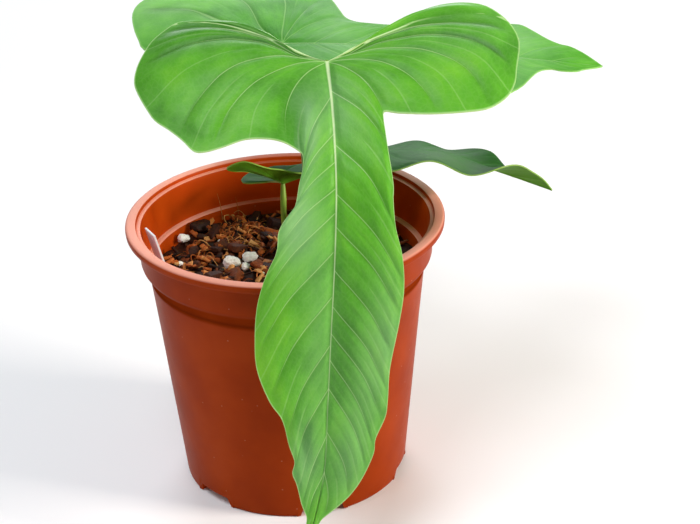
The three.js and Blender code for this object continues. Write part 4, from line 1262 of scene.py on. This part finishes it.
# Studio: lengths in millimetres, angles in degrees
studio = {
    "camera": (0, -565, 367.5),
    "yaw": 2.42,
    "pitch": 26.5,
    "roll": -1.65,
    "lens": 85,
    "dustAndTopHighlight": 36,
    "floor": 4,  # half its width in metres
    "aim": (0, 0, 90),
    "world": 0.2,
    # area lights as (place, size, watts, colour)
    "lights": [
        ((1100, -350, 540), 350, 16, "#fff4e8"),
        ((0, 1700, 1000), 1200, 22, "#f4f8ff"),
        ((-330, -480, 1300), 500, 8.5, "#f6f9ff"),
        ((-1000, -150, 900), 400, 2.2, "#f6f9ff"),
    ],
}


def makeStudio():
    bm = bmesh.new()
    bmesh.ops.create_grid(bm, x_segments=1, y_segments=1, size=studio["floor"])
    floor = meshObject(bm, "floor")
    paper, tree = newMaterial("whitePaper")
    shader = addNode(tree, "BsdfPrincipled", {"Base Color": "#f4f4f4", "Roughness": 0.9})
    addNode(tree, "OutputMaterial", {"Surface": shader})
    floor.data.materials.append(paper)
    for k, (place, size, watts, colour) in enumerate(studio["lights"]):
        data = bpy.data.lights.new(f"softLight{k + 1}", "AREA")
        data.size = size * mm
        data.energy = watts
        data.color = linear(colour)[:3]
        lamp = bpy.data.objects.new(data.name, data)
        lamp.location = Vector(place) * mm
        aim = Vector(studio["aim"]) * mm - lamp.location
        lamp.rotation_euler = aim.to_track_quat("-Z", "Y").to_euler()
        bpy.context.scene.collection.objects.link(lamp)
    world = bpy.data.worlds.new("studio")
    world.use_nodes = True
    sky = world.node_tree.nodes["Background"].inputs
    sky["Color"].default_value = linear("#ffffff")
    sky["Strength"].default_value = studio["world"]
    bpy.context.scene.world = world
    yaw, pitch, roll = (radians(studio[k]) for k in ("yaw", "pitch", "roll"))
    forward = Vector((sin(yaw) * cos(pitch), cos(yaw) * cos(pitch), -sin(pitch)))
    right = forward.cross(Vector((0, 0, 1))).normalized()
    up = right.cross(forward)
    turnedRight = cos(roll) * right + sin(roll) * up
    turnedUp = cos(roll) * up - sin(roll) * right
    data = bpy.data.cameras.new("photoCamera")
    data.lens = studio["lens"]
    data.sensor_width = studio["dustAndTopHighlight"]
    camera = bpy.data.objects.new("photoCamera", data)
    axes = Matrix((turnedRight, turnedUp, -forward)).transposed().to_4x4()
    camera.matrix_world = Matrix.Translation(Vector(studio["camera"]) * mm) @ axes
    bpy.context.scene.collection.objects.link(camera)
    bpy.context.scene.camera = camera
    bpy.context.scene.view_settings.view_transform = "Standard"


print("studio")
makeStudio()
